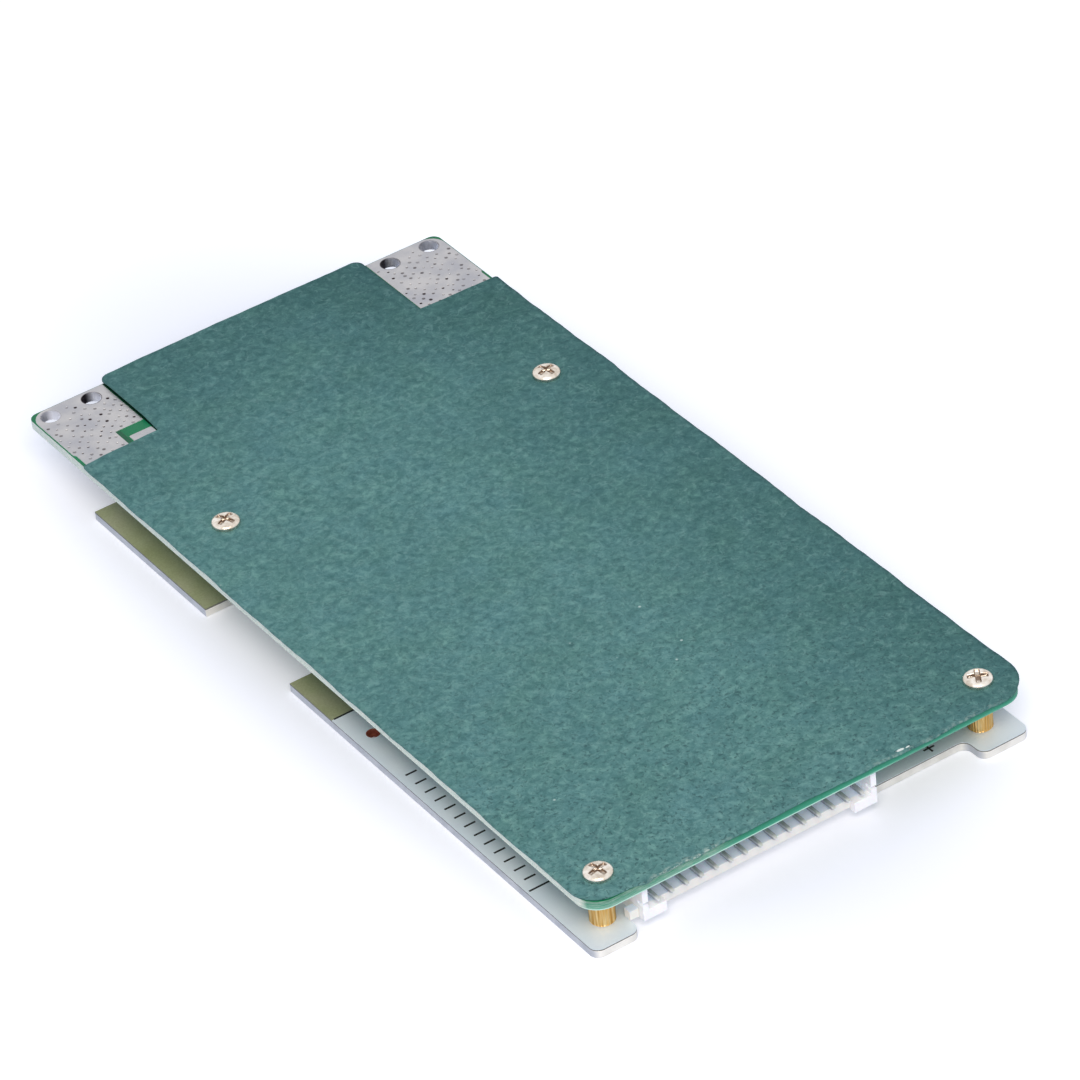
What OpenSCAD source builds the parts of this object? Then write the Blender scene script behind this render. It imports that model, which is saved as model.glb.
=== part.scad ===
// Two-board battery management module.
// An FR4 control board stands on four brass standoffs over an aluminium-core
// power board that spreads its heat. Green insulation paper covers the control
// board's outer face, and a right-angle cell header looks out at the front.
// Frame: X across, Y from the front (header) edge to the far (terminal) edge,
// Z up, with z = 0 at the underside of the aluminium-core board.

/* [Control board] */
// Width of both boards, along X
board_w = 60; // [54:0.5:80]
// Length of the control board, along Y
board_l = 121; // [112:0.5:150]
// Thickness of the FR4 laminate
board_t = 1.2; // [0.8:0.1:2]
// Corner radius at the front edge
board_front_r = 3; // [1:0.5:3.5]
// Corner radius at the far edge
board_far_r = 1.2; // [1:0.2:3]

/* [Insulation paper] */
// Thickness of the fish paper
paper_t = 0.2; // [0.1:0.05:0.5]
// How far the paper passes the left edge of the board
paper_over_left = 0.05; // [-0.5:0.05:0.8]
// How far the paper passes the right edge of the board
paper_over_right = 0.45; // [-0.5:0.05:0.8]
// How far the paper stops short of the front edge at its left corner
paper_short_front = 0.25; // [-0.4:0.05:0.8]
// How far the paper passes the front edge at its right corner
paper_over_front = 0.4; // [-0.4:0.05:0.8]
// How far the paper passes the far edge between the terminals
paper_over_far = 1.4; // [0:0.1:2]
// Corner radius of the paper at the front
paper_front_r = 4; // [1:0.5:4.5]
// Corner radius of the paper at the far edge
paper_far_r = 1.5; // [0.5:0.1:2.5]
// Corner radius of the paper where its sides meet the terminals' cut-outs
paper_cut_r = 0.2; // [0.1:0.05:1]

/* [Power board] */
// Length of the aluminium-core board, from the front edge
plate_l = 106.5; // [98:0.5:111]
// Thickness of the aluminium core
core_t = 1.0; // [0.6:0.1:2]
// Thickness of the bare dielectric over the core
dielectric_t = 0.2; // [0.15:0.05:0.3]
// Thickness of the pale solder mask, let into the dielectric
mask_t = 0.05; // [0.03:0.01:0.1]
// Length of the masked front half
mask_l = 53.3; // [50:0.1:56]
// Depth of the recess that clears the header, from the front edge
recess_depth = 3.25; // [2:0.05:3.5]
// Width of the left front tab
left_tab_w = 6.1; // [5.8:0.1:6.3]
// Width of the right front tab
right_tab_w = 6.8; // [6:0.1:9]
// Corner radius of the tabs and of the recess
tab_r = 1.2; // [0.5:0.1:1.5]
// Length of the notch in the left edge, along Y
notch_l = 18.65; // [10:0.05:24]
// Depth of the notch, along X
notch_depth = 6; // [3.5:0.1:6.4]
// Distance from the far left screw to the notch
notch_clear = 5; // [3.5:0.1:7]
// Radius of the tooling hole in the left rim
tool_hole_r = 0.85; // [0.5:0.05:1.2]
// Tooling hole's distance from the left edge
tool_hole_x = 2.4; // [2:0.1:3.5]
// Tooling hole's distance from the end of the solder mask
tool_hole_back = 5.1; // [3:0.1:8]

/* [Printed marks] */
// Width of a printed line
line_w = 0.25; // [0.15:0.05:0.4]
// Thickness of the ink
ink_t = 0.03; // [0.02:0.01:0.05]
// Distance of the front printed line from the front edge
front_line_y = 13.3; // [11:0.1:15]
// Gap between a printed line and the side edge
line_gap = 0.3; // [0.1:0.1:1]
// Arm-to-arm size of the plus mark
plus_size = 1.5; // [1:0.1:2]
// Plus mark's distance from the right edge
plus_x = 10.85; // [9.5:0.05:12]
// Plus mark's distance from the recess edge
plus_back = 1.45; // [1.3:0.05:2.5]
// Number of tick marks along the left rim
tick_count = 13; // [5:1:15]
// Spacing of the tick marks
tick_pitch = 2; // [1:0.1:2.2]
// Length of a tick mark
tick_len = 1.5; // [0.8:0.1:1.8]
// Gap from the left edge to the tick marks
tick_gap = 1; // [0.5:0.1:1.2]

/* [Standoffs and screws] */
// Height of a standoff between the boards
standoff_h = 5; // [5:0.1:9]
// Outer radius of a standoff, over its flutes
standoff_r = 1.5; // [1.4:0.05:1.7]
// Depth of the fine vertical flutes
flute_depth = 0.07; // [0.04:0.01:0.12]
// Number of flutes round a standoff
flute_count = 28; // [16:2:40]
// Radius of the spigot pressed into the power board
spigot_r = 1.15; // [0.9:0.05:1.25]
// Radius of the tapped bore
tap_r = 1; // [0.95:0.05:1.1]
// Wall left under the tapped bore
tap_floor = 0.8; // [0.5:0.1:1.5]
// Inset of the near screws from the side edges
near_screw_x = 3.9; // [3.5:0.1:4.1]
// Inset of the near screws from the front edge
near_screw_y = 4.2; // [3.8:0.1:4.8]
// Inset of the far screws from the side edges
far_screw_x = 6.9; // [6.5:0.1:9]
// Distance of the far screws from the front edge
far_screw_y = 86; // [82:0.5:89]
// Radius of a screw head
head_r = 1.75; // [1.6:0.05:2]
// Height of a screw head
head_h = 1.05; // [0.8:0.05:1.4]
// Radius of a screw shank
shank_r = 0.93; // [0.8:0.01:0.94]
// Length of a screw under its head
shank_l = 5; // [4:0.1:5.4]
// Width of a wing of the cross recess
cross_w = 0.55; // [0.3:0.05:0.6]
// Tip-to-tip length of the cross recess
cross_l = 2.4; // [1.4:0.1:2.5]
// Depth of the cross recess
cross_depth = 0.6; // [0.3:0.05:0.7]
// Clearance radius round a shank in the board and the paper
shank_clear = 0.25; // [0.1:0.05:0.4]

/* [Terminals] */
// Width of a terminal pad, from the side edge
terminal_w = 10.6; // [9.8:0.1:11.5]
// Length of a terminal pad, from the far edge
terminal_l = 13; // [11:0.1:14]
// Border of solder mask between a pad and the board's edges
terminal_border = 0.15; // [0.1:0.05:0.4]
// Thickness of the tinned copper on each face
terminal_t = 0.07; // [0.05:0.01:0.15]
// Radius of a terminal hole
terminal_hole_r = 1.25; // [0.8:0.05:1.3]
// Wall of the plated barrel in a terminal hole
barrel_t = 0.1; // [0.05:0.01:0.12]
// Outer hole's distance from the side edge
terminal_hole_x = 2.2; // [2:0.05:2.4]
// Spacing of the two holes in a terminal
terminal_pitch = 5.85; // [4:0.05:6]
// Distance of the holes from the far edge
terminal_hole_y = 1.85; // [1.8:0.05:3]
// Gap between a terminal pad and the paper's cut-out
paper_cut_gap = 0.2; // [0.1:0.05:0.5]
// Width of the mask island in the left pad
island_w = 4.2; // [3.5:0.1:5]
// Length of the mask island in the left pad
island_l = 3.1; // [2.5:0.1:4]
// Gap of solder mask round the sense pad
sense_gap = 1.05; // [0.5:0.05:1.1]
// Length of the sense pad
sense_l = 1.2; // [0.8:0.1:1.4]

/* [Cell header] */
// Number of pins
pin_count = 15; // [9:1:15]
// Pin spacing
pin_pitch = 2; // [1.5:0.05:2.1]
// Side of a square pin
pin_side = 0.5; // [0.4:0.05:0.6]
// Distance from an end pin to the end of the housing
header_end = 1.95; // [1.5:0.05:2.1]
// Gap between the left near standoff and the header's lug
header_gap = 0.5; // [0.3:0.05:3]
// Setback of the housing from the board's front edge
header_setback = 0.63; // [0.4:0.01:1]
// Depth of the housing, along Y
header_depth = 7.6; // [6.5:0.1:8.5]
// Height of the housing
header_h = 4.8; // [4.6:0.05:4.9]
// Thickness of the end walls
header_end_t = 0.75; // [0.5:0.05:1]
// Thickness of the lower wall
header_floor_t = 1.2; // [0.8:0.05:1.3]
// Thickness of the back wall, which carries the pins
header_back_t = 2; // [1.5:0.1:2.6]
// Length of the end lobes, along X
lobe_w = 3.1; // [2.4:0.1:4]
// Depth of the end lobes, along Y
lobe_depth = 1.6; // [1:0.1:2.5]
// Step from the lobes up to the lower wall between them
lobe_drop = 0.2; // [0.1:0.05:0.4]
// Setback of the lower wall behind the lobes
floor_setback = 1; // [0.1:0.05:1.4]
// Height of the pins' axis under the board
pin_drop = 2.55; // [2:0.05:2.8]
// Length of the pin tips that stands out of the housing's mouth
tip_reach = 0.3; // [0:0.05:0.5]
// Length of a pin's solder foot
foot_l = 1.6; // [1:0.1:2.2]
// Height of the key slot in an end wall
key_slot_h = 0.4; // [0.2:0.05:0.6]
// Length of the key slot
key_slot_l = 1; // [0.5:0.1:1.5]
// Width of the lug on the left end
lug_w = 1.1; // [0.6:0.1:1.2]

/* [Power transistors] */
// Transistors in a row
fet_columns = 6; // [3:1:6]
// Rows of transistors
fet_rows = 2; // [1:1:2]
// Width of a transistor's body
fet_w = 6.6; // [5.5:0.1:6.8]
// Length of a transistor's body
fet_l = 6.1; // [5:0.1:6.5]
// Height of a transistor
fet_h = 2.3; // [1.8:0.1:2.4]
// Thickness of a transistor's lead frame
frame_t = 0.5; // [0.4:0.05:0.6]
// Width of the transistors' drain tab
drain_w = 5.3; // [4.5:0.1:5.4]
// How far the drain tab shows beyond the body
drain_l = 1; // [0.6:0.1:1.4]
// Length of the transistors' leads
lead_l = 2.8; // [2:0.1:3]
// Spacing of a transistor's leads
lead_pitch = 2.28; // [1.9:0.02:2.4]
// First row's distance from the front edge
fet_y = 22; // [20:0.5:24]
// Distance between rows
fet_row_pitch = 16; // [14.5:0.5:17]
// Margin beside the rows of parts
row_margin = 4.2; // [3:0.1:5]

/* [Balancing parts] */
// Number of cells that are balanced
cell_count = 14; // [8:1:14]
// Gap from the header's solder feet to the filter capacitors' row
capacitor_gap = 4; // [3:0.5:6]
// Spacing of the rows of balancing parts
cell_row_pitch = 7; // [5:0.5:9]
// Size of the balance resistors: width, length, height
resistor_size = [1.6, 3.2, 0.6];
// Size of the balance transistors' bodies
sot_size = [2.6, 1.4, 1.0];
// Size of the filter capacitors
capacitor_size = [1.25, 2, 1.2];
// Width of a small transistor's lead
sot_lead_w = 0.4; // [0.3:0.05:0.5]
// Height of a small transistor's body over the board
sot_stand = 0.08; // [0.02:0.02:0.15]

/* [Chips] */
// Distance from the balance resistors to the chips
chip_back = 11; // [9:0.5:13]
// Monitor chip's distance from the centre line
monitor_x = 15; // [12:0.5:18]
// Size of the monitor chip's body
monitor_size = [7, 7, 1.4];
// Leads on each of the monitor chip's four sides
monitor_leads = 12; // [8:1:12]
// Spacing of the monitor chip's leads
monitor_pitch = 0.5; // [0.4:0.05:0.55]
// Controller chip's distance from the centre line
controller_x = 5; // [4:0.5:8]
// Size of the controller chip's body
controller_size = [6.5, 4.4, 1.1];
// Leads on each long side of the controller chip
controller_leads = 10; // [7:1:10]
// Spacing of the controller chip's leads
controller_pitch = 0.65; // [0.5:0.05:0.65]
// How far a chip's leads reach from its body
pack_lead_l = 1; // [0.6:0.1:1.4]
// Height of a chip's body over the board
pack_stand = 0.1; // [0.05:0.05:0.2]
// Regulator's distance from the centre line
regulator_x = 18; // [15:0.5:20]
// Size of the regulator's body
regulator_size = [4.5, 2.5, 1.5];

/* [Power path] */
// Number of shunts
shunt_count = 4; // [2:1:4]
// Size of a shunt
shunt_size = [3.2, 6.3, 0.7];
// Gap between two shunts, and between the row and the left far standoff
shunt_gap = 1.2; // [0.6:0.1:1.5]
// Gap between the shunts and the power links
shunt_back = 1.5; // [1:0.1:2.5]
// Surge diodes' distance from the centre line
diode_x = 15; // [12:0.5:18]
// Distance from the gate link to the surge diodes
diode_back = 10; // [8:0.5:14]
// Size of a surge diode's body
diode_size = [4.6, 3.8, 2.2];
// How far a surge diode's leads show beyond its body
diode_lip = 0.6; // [0.3:0.1:1]
// Size of the gate resistors
gate_size = [0.8, 1.6, 0.45];
// Gap between a gate resistor and its power transistor
gate_gap = 0.6; // [0.4:0.1:1]
// Thermistor's distance from the centre line
thermistor_x = 10; // [6:0.5:16]
// Thermistor's distance from the end of the solder mask
thermistor_back = 4; // [3:0.5:6]
// Size of the thermistor
thermistor_size = [1.25, 2, 0.9];

/* [Links between the boards] */
// Number of contacts in the gate link
link_count = 6; // [4:1:8]
// Spacing of the gate link's contacts
link_pitch = 2; // [1.8:0.1:2.4]
// Depth of the gate link's plug and socket
link_d = 2.2; // [2:0.1:3]
// Distance of the gate link from the end of the solder mask
link_back = 5; // [4:0.5:8]
// Height of the gate link's plug base
link_base_h = 1.5; // [1.2:0.1:2]
// Wall of the socket over the ends of its cells
link_wall = 1; // [0.6:0.1:1.5]
// Gap between a pin's tip and the end of its cell
link_end_gap = 0.2; // [0.1:0.05:0.5]
// Clearance round a pin in the socket
link_pin_gap = 0.05; // [0.02:0.01:0.2]
// Power links' distance from the centre line
power_link_x = 13.5; // [12:0.5:18]
// Power links' distance from the power board's far end
power_link_inset = 7; // [5:0.5:9]
// Width of a power link
power_link_w = 9; // [6:0.5:10]
// Length of a power link's flanges, along Y
power_link_l = 5; // [4:0.5:6]
// Thickness of a power link's flanges and web
power_link_t = 0.8; // [0.6:0.1:1]

/* [Hidden] */

$fn = 48;
corner_steps = 8;           // flats in a rounded corner
eps = 0.01;                 // overrun of a cutting tool
fit_gap = 0.02;             // clearance of a pressed or inserted piece

half_w = board_w / 2;
front_y = -board_l / 2;
far_y = board_l / 2;
plate_t = core_t + dielectric_t;
board_z = plate_t + standoff_h;
board_top = board_z + board_t;
paper_top = board_top + paper_t;

screw_spots = [
    [-half_w + near_screw_x, front_y + near_screw_y],
    [half_w - near_screw_x, front_y + near_screw_y],
    [-half_w + far_screw_x, front_y + far_screw_y],
    [half_w - far_screw_x, front_y + far_screw_y]];
clear_r = shank_r + shank_clear;

notch_far_y = front_y + far_screw_y - notch_clear;
tool_hole = [-half_w + tool_hole_x, front_y + mask_l - tool_hole_back];

header_half = (pin_count - 1) * pin_pitch / 2 + header_end;
header_x = -half_w + near_screw_x + standoff_r + header_gap + lug_w + header_half;
header_front = front_y + header_setback;
header_back = header_front + header_depth;
header_low = board_z - header_h;
pin_z = board_z - pin_drop;

fet_pitch = (board_w - 2 * row_margin) / fet_columns;
cell_pitch = (board_w - 2 * row_margin) / cell_count;
capacitor_y = header_back + foot_l + capacitor_gap;
sot_y = capacitor_y + cell_row_pitch;
resistor_y = sot_y + cell_row_pitch;
chip_y = resistor_y + chip_back;
link_y = front_y + mask_l + link_back;
diode_y = link_y + diode_back;
power_link_y = front_y + plate_l - power_link_inset;

shunt_pitch = shunt_size[0] + shunt_gap;
shunt_left = -half_w + far_screw_x + standoff_r + shunt_gap;
shunt_y = power_link_y - (power_link_l + shunt_size[1]) / 2 - shunt_back;

function unit(v) = v / norm(v);

// Arc that rounds the corner p between its neighbours a and b
function corner(a, p, b, r) =
    let (u = unit(a - p), v = unit(b - p),
         half = acos(u * v) / 2,
         c = p + unit(u + v) * r / sin(half),
         s = p + u * r / tan(half) - c,
         e = p + v * r / tan(half) - c,
         s_angle = atan2(s[1], s[0]),
         turn = (atan2(e[1], e[0]) - s_angle + 540) % 360 - 180)
    [for (i = [0:corner_steps])
        let (t = s_angle + turn * i / corner_steps)
        c + r * [cos(t), sin(t)]];

// Outline with each corner [x, y, radius] rounded, or left sharp where radius is 0
function rounded(corners) =
    let (n = len(corners))
    [for (i = [0:n - 1])
        let (p = corners[i], a = corners[(i + n - 1) % n], b = corners[(i + 1) % n])
        each p[2] == 0 ? [[p[0], p[1]]]
            : corner([a[0], a[1]], [p[0], p[1]], [b[0], b[1]], p[2])];

module slab(corners, z, t) {
    translate([0, 0, z])
        linear_extrude(height = t)
            polygon(rounded(corners));
}

// Box given by its centre in x and y, its size, and the height of its lower face
module block(centre, size, z) {
    translate([centre[0] - size[0] / 2, centre[1] - size[1] / 2, z])
        cube(size);
}

module drill(spots, r, z, t) {
    for (p = spots)
        translate([p[0], p[1], z - eps])
            cylinder(r = r, h = t + 2 * eps);
}

function terminal_holes(side) = [
    [side * (half_w - terminal_hole_x), far_y - terminal_hole_y],
    [side * (half_w - terminal_hole_x - terminal_pitch), far_y - terminal_hole_y]];

// ---- outer pieces ----

paper_cut_w = terminal_w + paper_cut_gap;
paper_cut_y = far_y - terminal_l - paper_cut_gap;
paper_corners = [
    [-half_w - paper_over_left, front_y + paper_short_front, paper_front_r],
    [half_w + paper_over_right, front_y - paper_over_front, paper_front_r],
    [half_w + paper_over_right, paper_cut_y, paper_cut_r],
    [half_w - paper_cut_w, paper_cut_y, 0],
    [half_w - paper_cut_w, far_y + paper_over_far, paper_far_r],
    [-half_w + paper_cut_w, far_y + paper_over_far, paper_far_r],
    [-half_w + paper_cut_w, paper_cut_y, 0],
    [-half_w - paper_over_left, paper_cut_y, paper_cut_r]];

module insulation_paper() {
    color([0.31, 0.49, 0.47])
        difference() {
            slab(paper_corners, board_top, paper_t);
            drill(screw_spots, clear_r, board_top, paper_t);
        }
}

board_corners = [
    [-half_w, front_y, board_front_r],
    [half_w, front_y, board_front_r],
    [half_w, far_y, board_far_r],
    [-half_w, far_y, board_far_r]];

module control_board() {
    color([0.13, 0.53, 0.38])
        difference() {
            slab(board_corners, board_z, board_t);
            drill(screw_spots, clear_r, board_z, board_t);
            for (side = [-1, 1])
                drill(terminal_holes(side), terminal_hole_r + barrel_t, board_z, board_t);
        }
}

// ---- terminals ----

pad_low_y = far_y - terminal_l;

// Plain terminal field at one far corner; side is -1 for left and 1 for right
module terminal_field(side, z) {
    corners = [
        [half_w - terminal_w, pad_low_y, 0],
        [half_w - terminal_border, pad_low_y, 0],
        [half_w - terminal_border, far_y - terminal_border, board_far_r - terminal_border],
        [half_w - terminal_w, far_y - terminal_border, 0]];
    if (side > 0)
        slab(corners, z, terminal_t);
    else
        mirror([1, 0, 0]) slab(corners, z, terminal_t);
}

// Tinned copper on both faces, joined by the plated barrels of its holes
module terminal(side) {
    difference() {
        union() {
            terminal_field(side, board_top);
            terminal_field(side, board_z - terminal_t);
            for (p = terminal_holes(side))
                translate([p[0], p[1], board_z])
                    cylinder(r = terminal_hole_r + barrel_t, h = board_t);
        }
        drill(terminal_holes(side), terminal_hole_r, board_z - terminal_t, board_t + 2 * terminal_t);
    }
}

module left_terminal() {
    color([0.71, 0.7, 0.72])
        difference() {
            terminal(-1);
            translate([-half_w + terminal_w - island_w, pad_low_y - eps, board_top])
                cube([island_w + eps, island_l + eps, terminal_t + eps]);
        }
}

module right_terminal() {
    color([0.71, 0.7, 0.72])
        terminal(1);
}

module sense_pad() {
    color([0.78, 0.78, 0.8])
        translate([-half_w + terminal_w - island_w + sense_gap, pad_low_y, board_top])
            cube([island_w - sense_gap, sense_l, terminal_t]);
}

// ---- aluminium-core board ----

recess_y = front_y + recess_depth;
plate_corners = [
    [-half_w, front_y, tab_r],
    [-half_w + left_tab_w, front_y, tab_r],
    [-half_w + left_tab_w, recess_y, tab_r],
    [half_w - right_tab_w, recess_y, tab_r],
    [half_w - right_tab_w, front_y, tab_r],
    [half_w, front_y, tab_r],
    [half_w, front_y + plate_l, 0],
    [-half_w, front_y + plate_l, 0],
    [-half_w, notch_far_y, 0],
    [-half_w + notch_depth, notch_far_y, tab_r],
    [-half_w + notch_depth, notch_far_y - notch_l, tab_r],
    [-half_w, notch_far_y - notch_l, 0]];

module plate_layer(z, t) {
    difference() {
        slab(plate_corners, z, t);
        drill(screw_spots, spigot_r + fit_gap, z, t);
        drill([tool_hole], tool_hole_r, z, t);
    }
}

module mask_zone(z, t) {
    translate([-half_w - eps, front_y - eps, z])
        cube([board_w + 2 * eps, mask_l + eps, t]);
}

module heat_spreader() {
    color([0.84, 0.84, 0.84])
        plate_layer(0, core_t);
}

module dielectric_layer() {
    color([0.5, 0.54, 0.36])
        difference() {
            plate_layer(core_t, dielectric_t);
            mask_zone(plate_t - mask_t, mask_t + eps);
        }
}

module plate_mask() {
    color([0.78, 0.84, 0.85])
        intersection() {
            plate_layer(plate_t - mask_t, mask_t);
            mask_zone(plate_t - mask_t, mask_t);
        }
}

module printed_line(y) {
    block([0, y], [board_w - 2 * line_gap, line_w, ink_t], plate_t);
}

module plate_legend() {
    plus = [half_w - plus_x, recess_y + plus_back];
    color([0.08, 0.08, 0.08]) {
        printed_line(front_y + mask_l);
        printed_line(front_y + front_line_y);
        block(plus, [plus_size, line_w, ink_t], plate_t);
        block(plus, [line_w, plus_size, ink_t], plate_t);
        for (i = [1:tick_count])
            block([-half_w + tick_gap + tick_len / 2, front_y + front_line_y + i * tick_pitch],
                  [tick_len, line_w, ink_t], plate_t);
    }
}

// ---- standoffs and screws ----

// Fluted barrel: the outline alternates between crest and root
flutes = [for (i = [0:2 * flute_count - 1])
    let (a = 180 * i / flute_count, r = standoff_r - (i % 2) * flute_depth)
    [r * cos(a), r * sin(a)]];

module standoffs() {
    bore_z = plate_t + tap_floor;
    color([0.8, 0.64, 0.37])
        for (p = screw_spots)
            translate([p[0], p[1], 0])
                difference() {
                    union() {
                        cylinder(r = spigot_r, h = plate_t + eps);
                        translate([0, 0, plate_t])
                            linear_extrude(height = standoff_h)
                                polygon(flutes);
                    }
                    translate([0, 0, bore_z])
                        cylinder(r = tap_r, h = board_z - bore_z + eps);
                }
}

// Half profile of a screw: shank, flat under the head, low wall and domed top
head_wall = head_h * 0.45;
head_profile = concat(
    [[0, -shank_l], [shank_r, -shank_l], [shank_r, 0], [head_r, 0]],
    [for (i = [0:corner_steps])
        let (a = 90 * i / corner_steps)
        [head_r * cos(a), head_wall + (head_h - head_wall) * sin(a)]]);

module board_screws() {
    color([0.87, 0.84, 0.8])
        for (p = screw_spots)
            translate([p[0], p[1], paper_top])
                difference() {
                    rotate_extrude()
                        polygon(head_profile);
                    for (turn = [0, 90])
                        rotate([0, 0, turn])
                            translate([-cross_l / 2, -cross_w / 2, head_h - cross_depth])
                                cube([cross_l, cross_w, cross_depth + eps]);
                }
}

// ---- cell header ----

pin_spots = [for (i = [0:pin_count - 1])
    header_x + (i - (pin_count - 1) / 2) * pin_pitch];

module header_housing() {
    inner_h = header_h - header_floor_t - lobe_drop;
    floor_z = header_low + lobe_drop;
    left = header_x - header_half;
    color([0.93, 0.94, 0.97])
        difference() {
            union() {
                for (side = [-1, 1]) {
                    block([header_x + side * (header_half - header_end_t / 2),
                           header_front + header_depth / 2],
                          [header_end_t, header_depth, header_h], header_low);
                    block([header_x + side * (header_half - lobe_w / 2),
                           header_front + lobe_depth / 2],
                          [lobe_w, lobe_depth, header_floor_t + lobe_drop], header_low);
                }
                translate([left, header_front + floor_setback, floor_z])
                    cube([2 * header_half, header_depth - floor_setback, header_floor_t]);
                translate([left, header_back - header_back_t, floor_z])
                    cube([2 * header_half, header_back_t, inner_h + header_floor_t]);
                translate([left - lug_w, header_front + lug_w, header_low])
                    cube([lug_w + eps, lug_w, header_floor_t]);
            }
            for (x = pin_spots)
                translate([x - pin_side / 2 - fit_gap, header_front, pin_z - pin_side / 2 - fit_gap])
                    cube([pin_side + 2 * fit_gap, header_depth + eps, pin_side + 2 * fit_gap]);
            translate([left - eps, header_front - eps, pin_z - key_slot_h / 2])
                cube([2 * header_half + 2 * eps, key_slot_l, key_slot_h]);
        }
}

// A pin runs back through the housing, rises to the board and lies along it
module header_pins() {
    tip_y = header_front - tip_reach;
    rise_y = header_back + pin_side;
    color([0.62, 0.64, 0.67])
        for (x = pin_spots)
            translate([x - pin_side / 2, 0, 0]) {
                translate([0, tip_y, pin_z - pin_side / 2])
                    cube([pin_side, rise_y - tip_y, pin_side]);
                translate([0, rise_y - pin_side, pin_z - pin_side / 2])
                    cube([pin_side, pin_side, board_z - pin_z + pin_side / 2]);
                translate([0, rise_y - pin_side, board_z - pin_side])
                    cube([pin_side, foot_l, pin_side]);
            }
}

// ---- power transistors ----

// Moulded body over a lead frame: drain tab at the back, two leads in front
module power_transistor(column, row) {
    x = (column - (fet_columns - 1) / 2) * fet_pitch;
    y = front_y + fet_y + row * fet_row_pitch;
    color([0.16, 0.16, 0.17])
        translate([x, y, plate_t]) {
            block([0, 0], [fet_w, fet_l, fet_h - frame_t], frame_t);
            block([0, drain_l / 2], [drain_w, fet_l + drain_l, frame_t + eps], 0);
            for (side = [-1, 1])
                translate([side * lead_pitch - frame_t / 2, -fet_l / 2 - lead_l, 0]) {
                    cube([frame_t, lead_l / 2, frame_t]);
                    translate([0, lead_l / 2 - frame_t, 0])
                        cube([frame_t, frame_t, 2 * frame_t]);
                    translate([0, lead_l / 2 - frame_t, frame_t])
                        cube([frame_t, lead_l / 2 + 2 * frame_t, frame_t]);
                }
        }
}

// ---- small parts under the control board ----

function cell_x(i) = (i - (cell_count - 1) / 2) * cell_pitch;

// Row of chip parts, one for each cell, with their end caps
module cell_row(y, size) {
    for (i = [0:cell_count - 1])
        block([cell_x(i), y], size, board_z - size[2]);
}

module balance_resistors() {
    color([0.12, 0.12, 0.13])
        cell_row(resistor_y, resistor_size);
}

module filter_capacitors() {
    color([0.72, 0.6, 0.45])
        cell_row(capacitor_y, capacitor_size);
}

// Small three-lead transistor, upside down under the board
module small_transistor(x, y, size) {
    block([x, y], size, board_z - size[2] - sot_stand);
    for (lead = [[-1, -1], [1, -1], [0, 1]])
        block([x + lead[0] * (size[0] / 2 - sot_lead_w), y + lead[1] * size[1] / 2],
              [sot_lead_w, 2 * sot_lead_w, size[2] / 2], board_z - size[2] / 2);
}

module balance_transistors() {
    color([0.14, 0.14, 0.15])
        for (i = [0:cell_count - 1])
            small_transistor(cell_x(i), sot_y, sot_size);
}

// Flat pack hanging under the board, with leads along its front and back (leads_x)
// and along its two sides (leads_y)
module flat_pack(centre, size, leads_x, leads_y, pitch) {
    lead_w = pitch / 2;
    block(centre, size, board_z - size[2] - pack_stand);
    for (side = [-1, 1]) {
        for (i = [0:leads_x - 1])
            block([centre[0] + (i - (leads_x - 1) / 2) * pitch, centre[1] + side * size[1] / 2],
                  [lead_w, 2 * pack_lead_l, size[2] / 2], board_z - size[2] / 2);
        for (i = [0:leads_y - 1])
            block([centre[0] + side * size[0] / 2, centre[1] + (i - (leads_y - 1) / 2) * pitch],
                  [2 * pack_lead_l, lead_w, size[2] / 2], board_z - size[2] / 2);
    }
}

module monitor_chip() {
    color([0.13, 0.13, 0.14])
        flat_pack([-monitor_x, chip_y], monitor_size, monitor_leads, monitor_leads, monitor_pitch);
}

module controller_chip() {
    color([0.13, 0.13, 0.14])
        flat_pack([controller_x, chip_y], controller_size, controller_leads, 0, controller_pitch);
}

module regulator() {
    color([0.13, 0.13, 0.14])
        small_transistor(regulator_x, chip_y, regulator_size);
}

module surge_diode(side) {
    color([0.15, 0.15, 0.16]) {
        block([side * diode_x, diode_y], diode_size, board_z - diode_size[2]);
        block([side * diode_x, diode_y],
              [diode_size[0] + 2 * diode_lip, diode_size[1] / 2, diode_size[2] / 2],
              board_z - diode_size[2] / 2);
    }
}

module left_surge_diode() {
    surge_diode(-1);
}

module right_surge_diode() {
    surge_diode(1);
}

module shunt(i) {
    color([0.3, 0.3, 0.31])
        block([shunt_left + shunt_size[0] / 2 + i * shunt_pitch, shunt_y],
              shunt_size, board_z - shunt_size[2]);
}

// ---- small parts on the power board ----

module gate_resistors() {
    color([0.12, 0.12, 0.13])
        for (row = [0:fet_rows - 1])
            for (column = [0:fet_columns - 1])
                block([(column - (fet_columns - 1) / 2) * fet_pitch,
                       front_y + fet_y + row * fet_row_pitch
                       - (fet_l + gate_size[1]) / 2 - gate_gap],
                      gate_size, plate_t);
}

module thermistor() {
    color([0.1, 0.1, 0.11])
        block([thermistor_x, front_y + mask_l - thermistor_back], thermistor_size, plate_t);
}

link_w = link_count * link_pitch;
link_spots = [for (i = [0:link_count - 1]) (i - (link_count - 1) / 2) * link_pitch];
link_seat = plate_t + link_base_h;
link_reach = board_z - link_seat - link_wall;

module link_plug() {
    color([0.15, 0.15, 0.16])
        difference() {
            block([0, link_y], [link_w, link_d, link_base_h], plate_t);
            for (x = link_spots)
                block([x, link_y], [pin_side + 2 * fit_gap, pin_side + 2 * fit_gap, link_base_h + 2 * eps],
                      plate_t - eps);
        }
}

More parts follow.
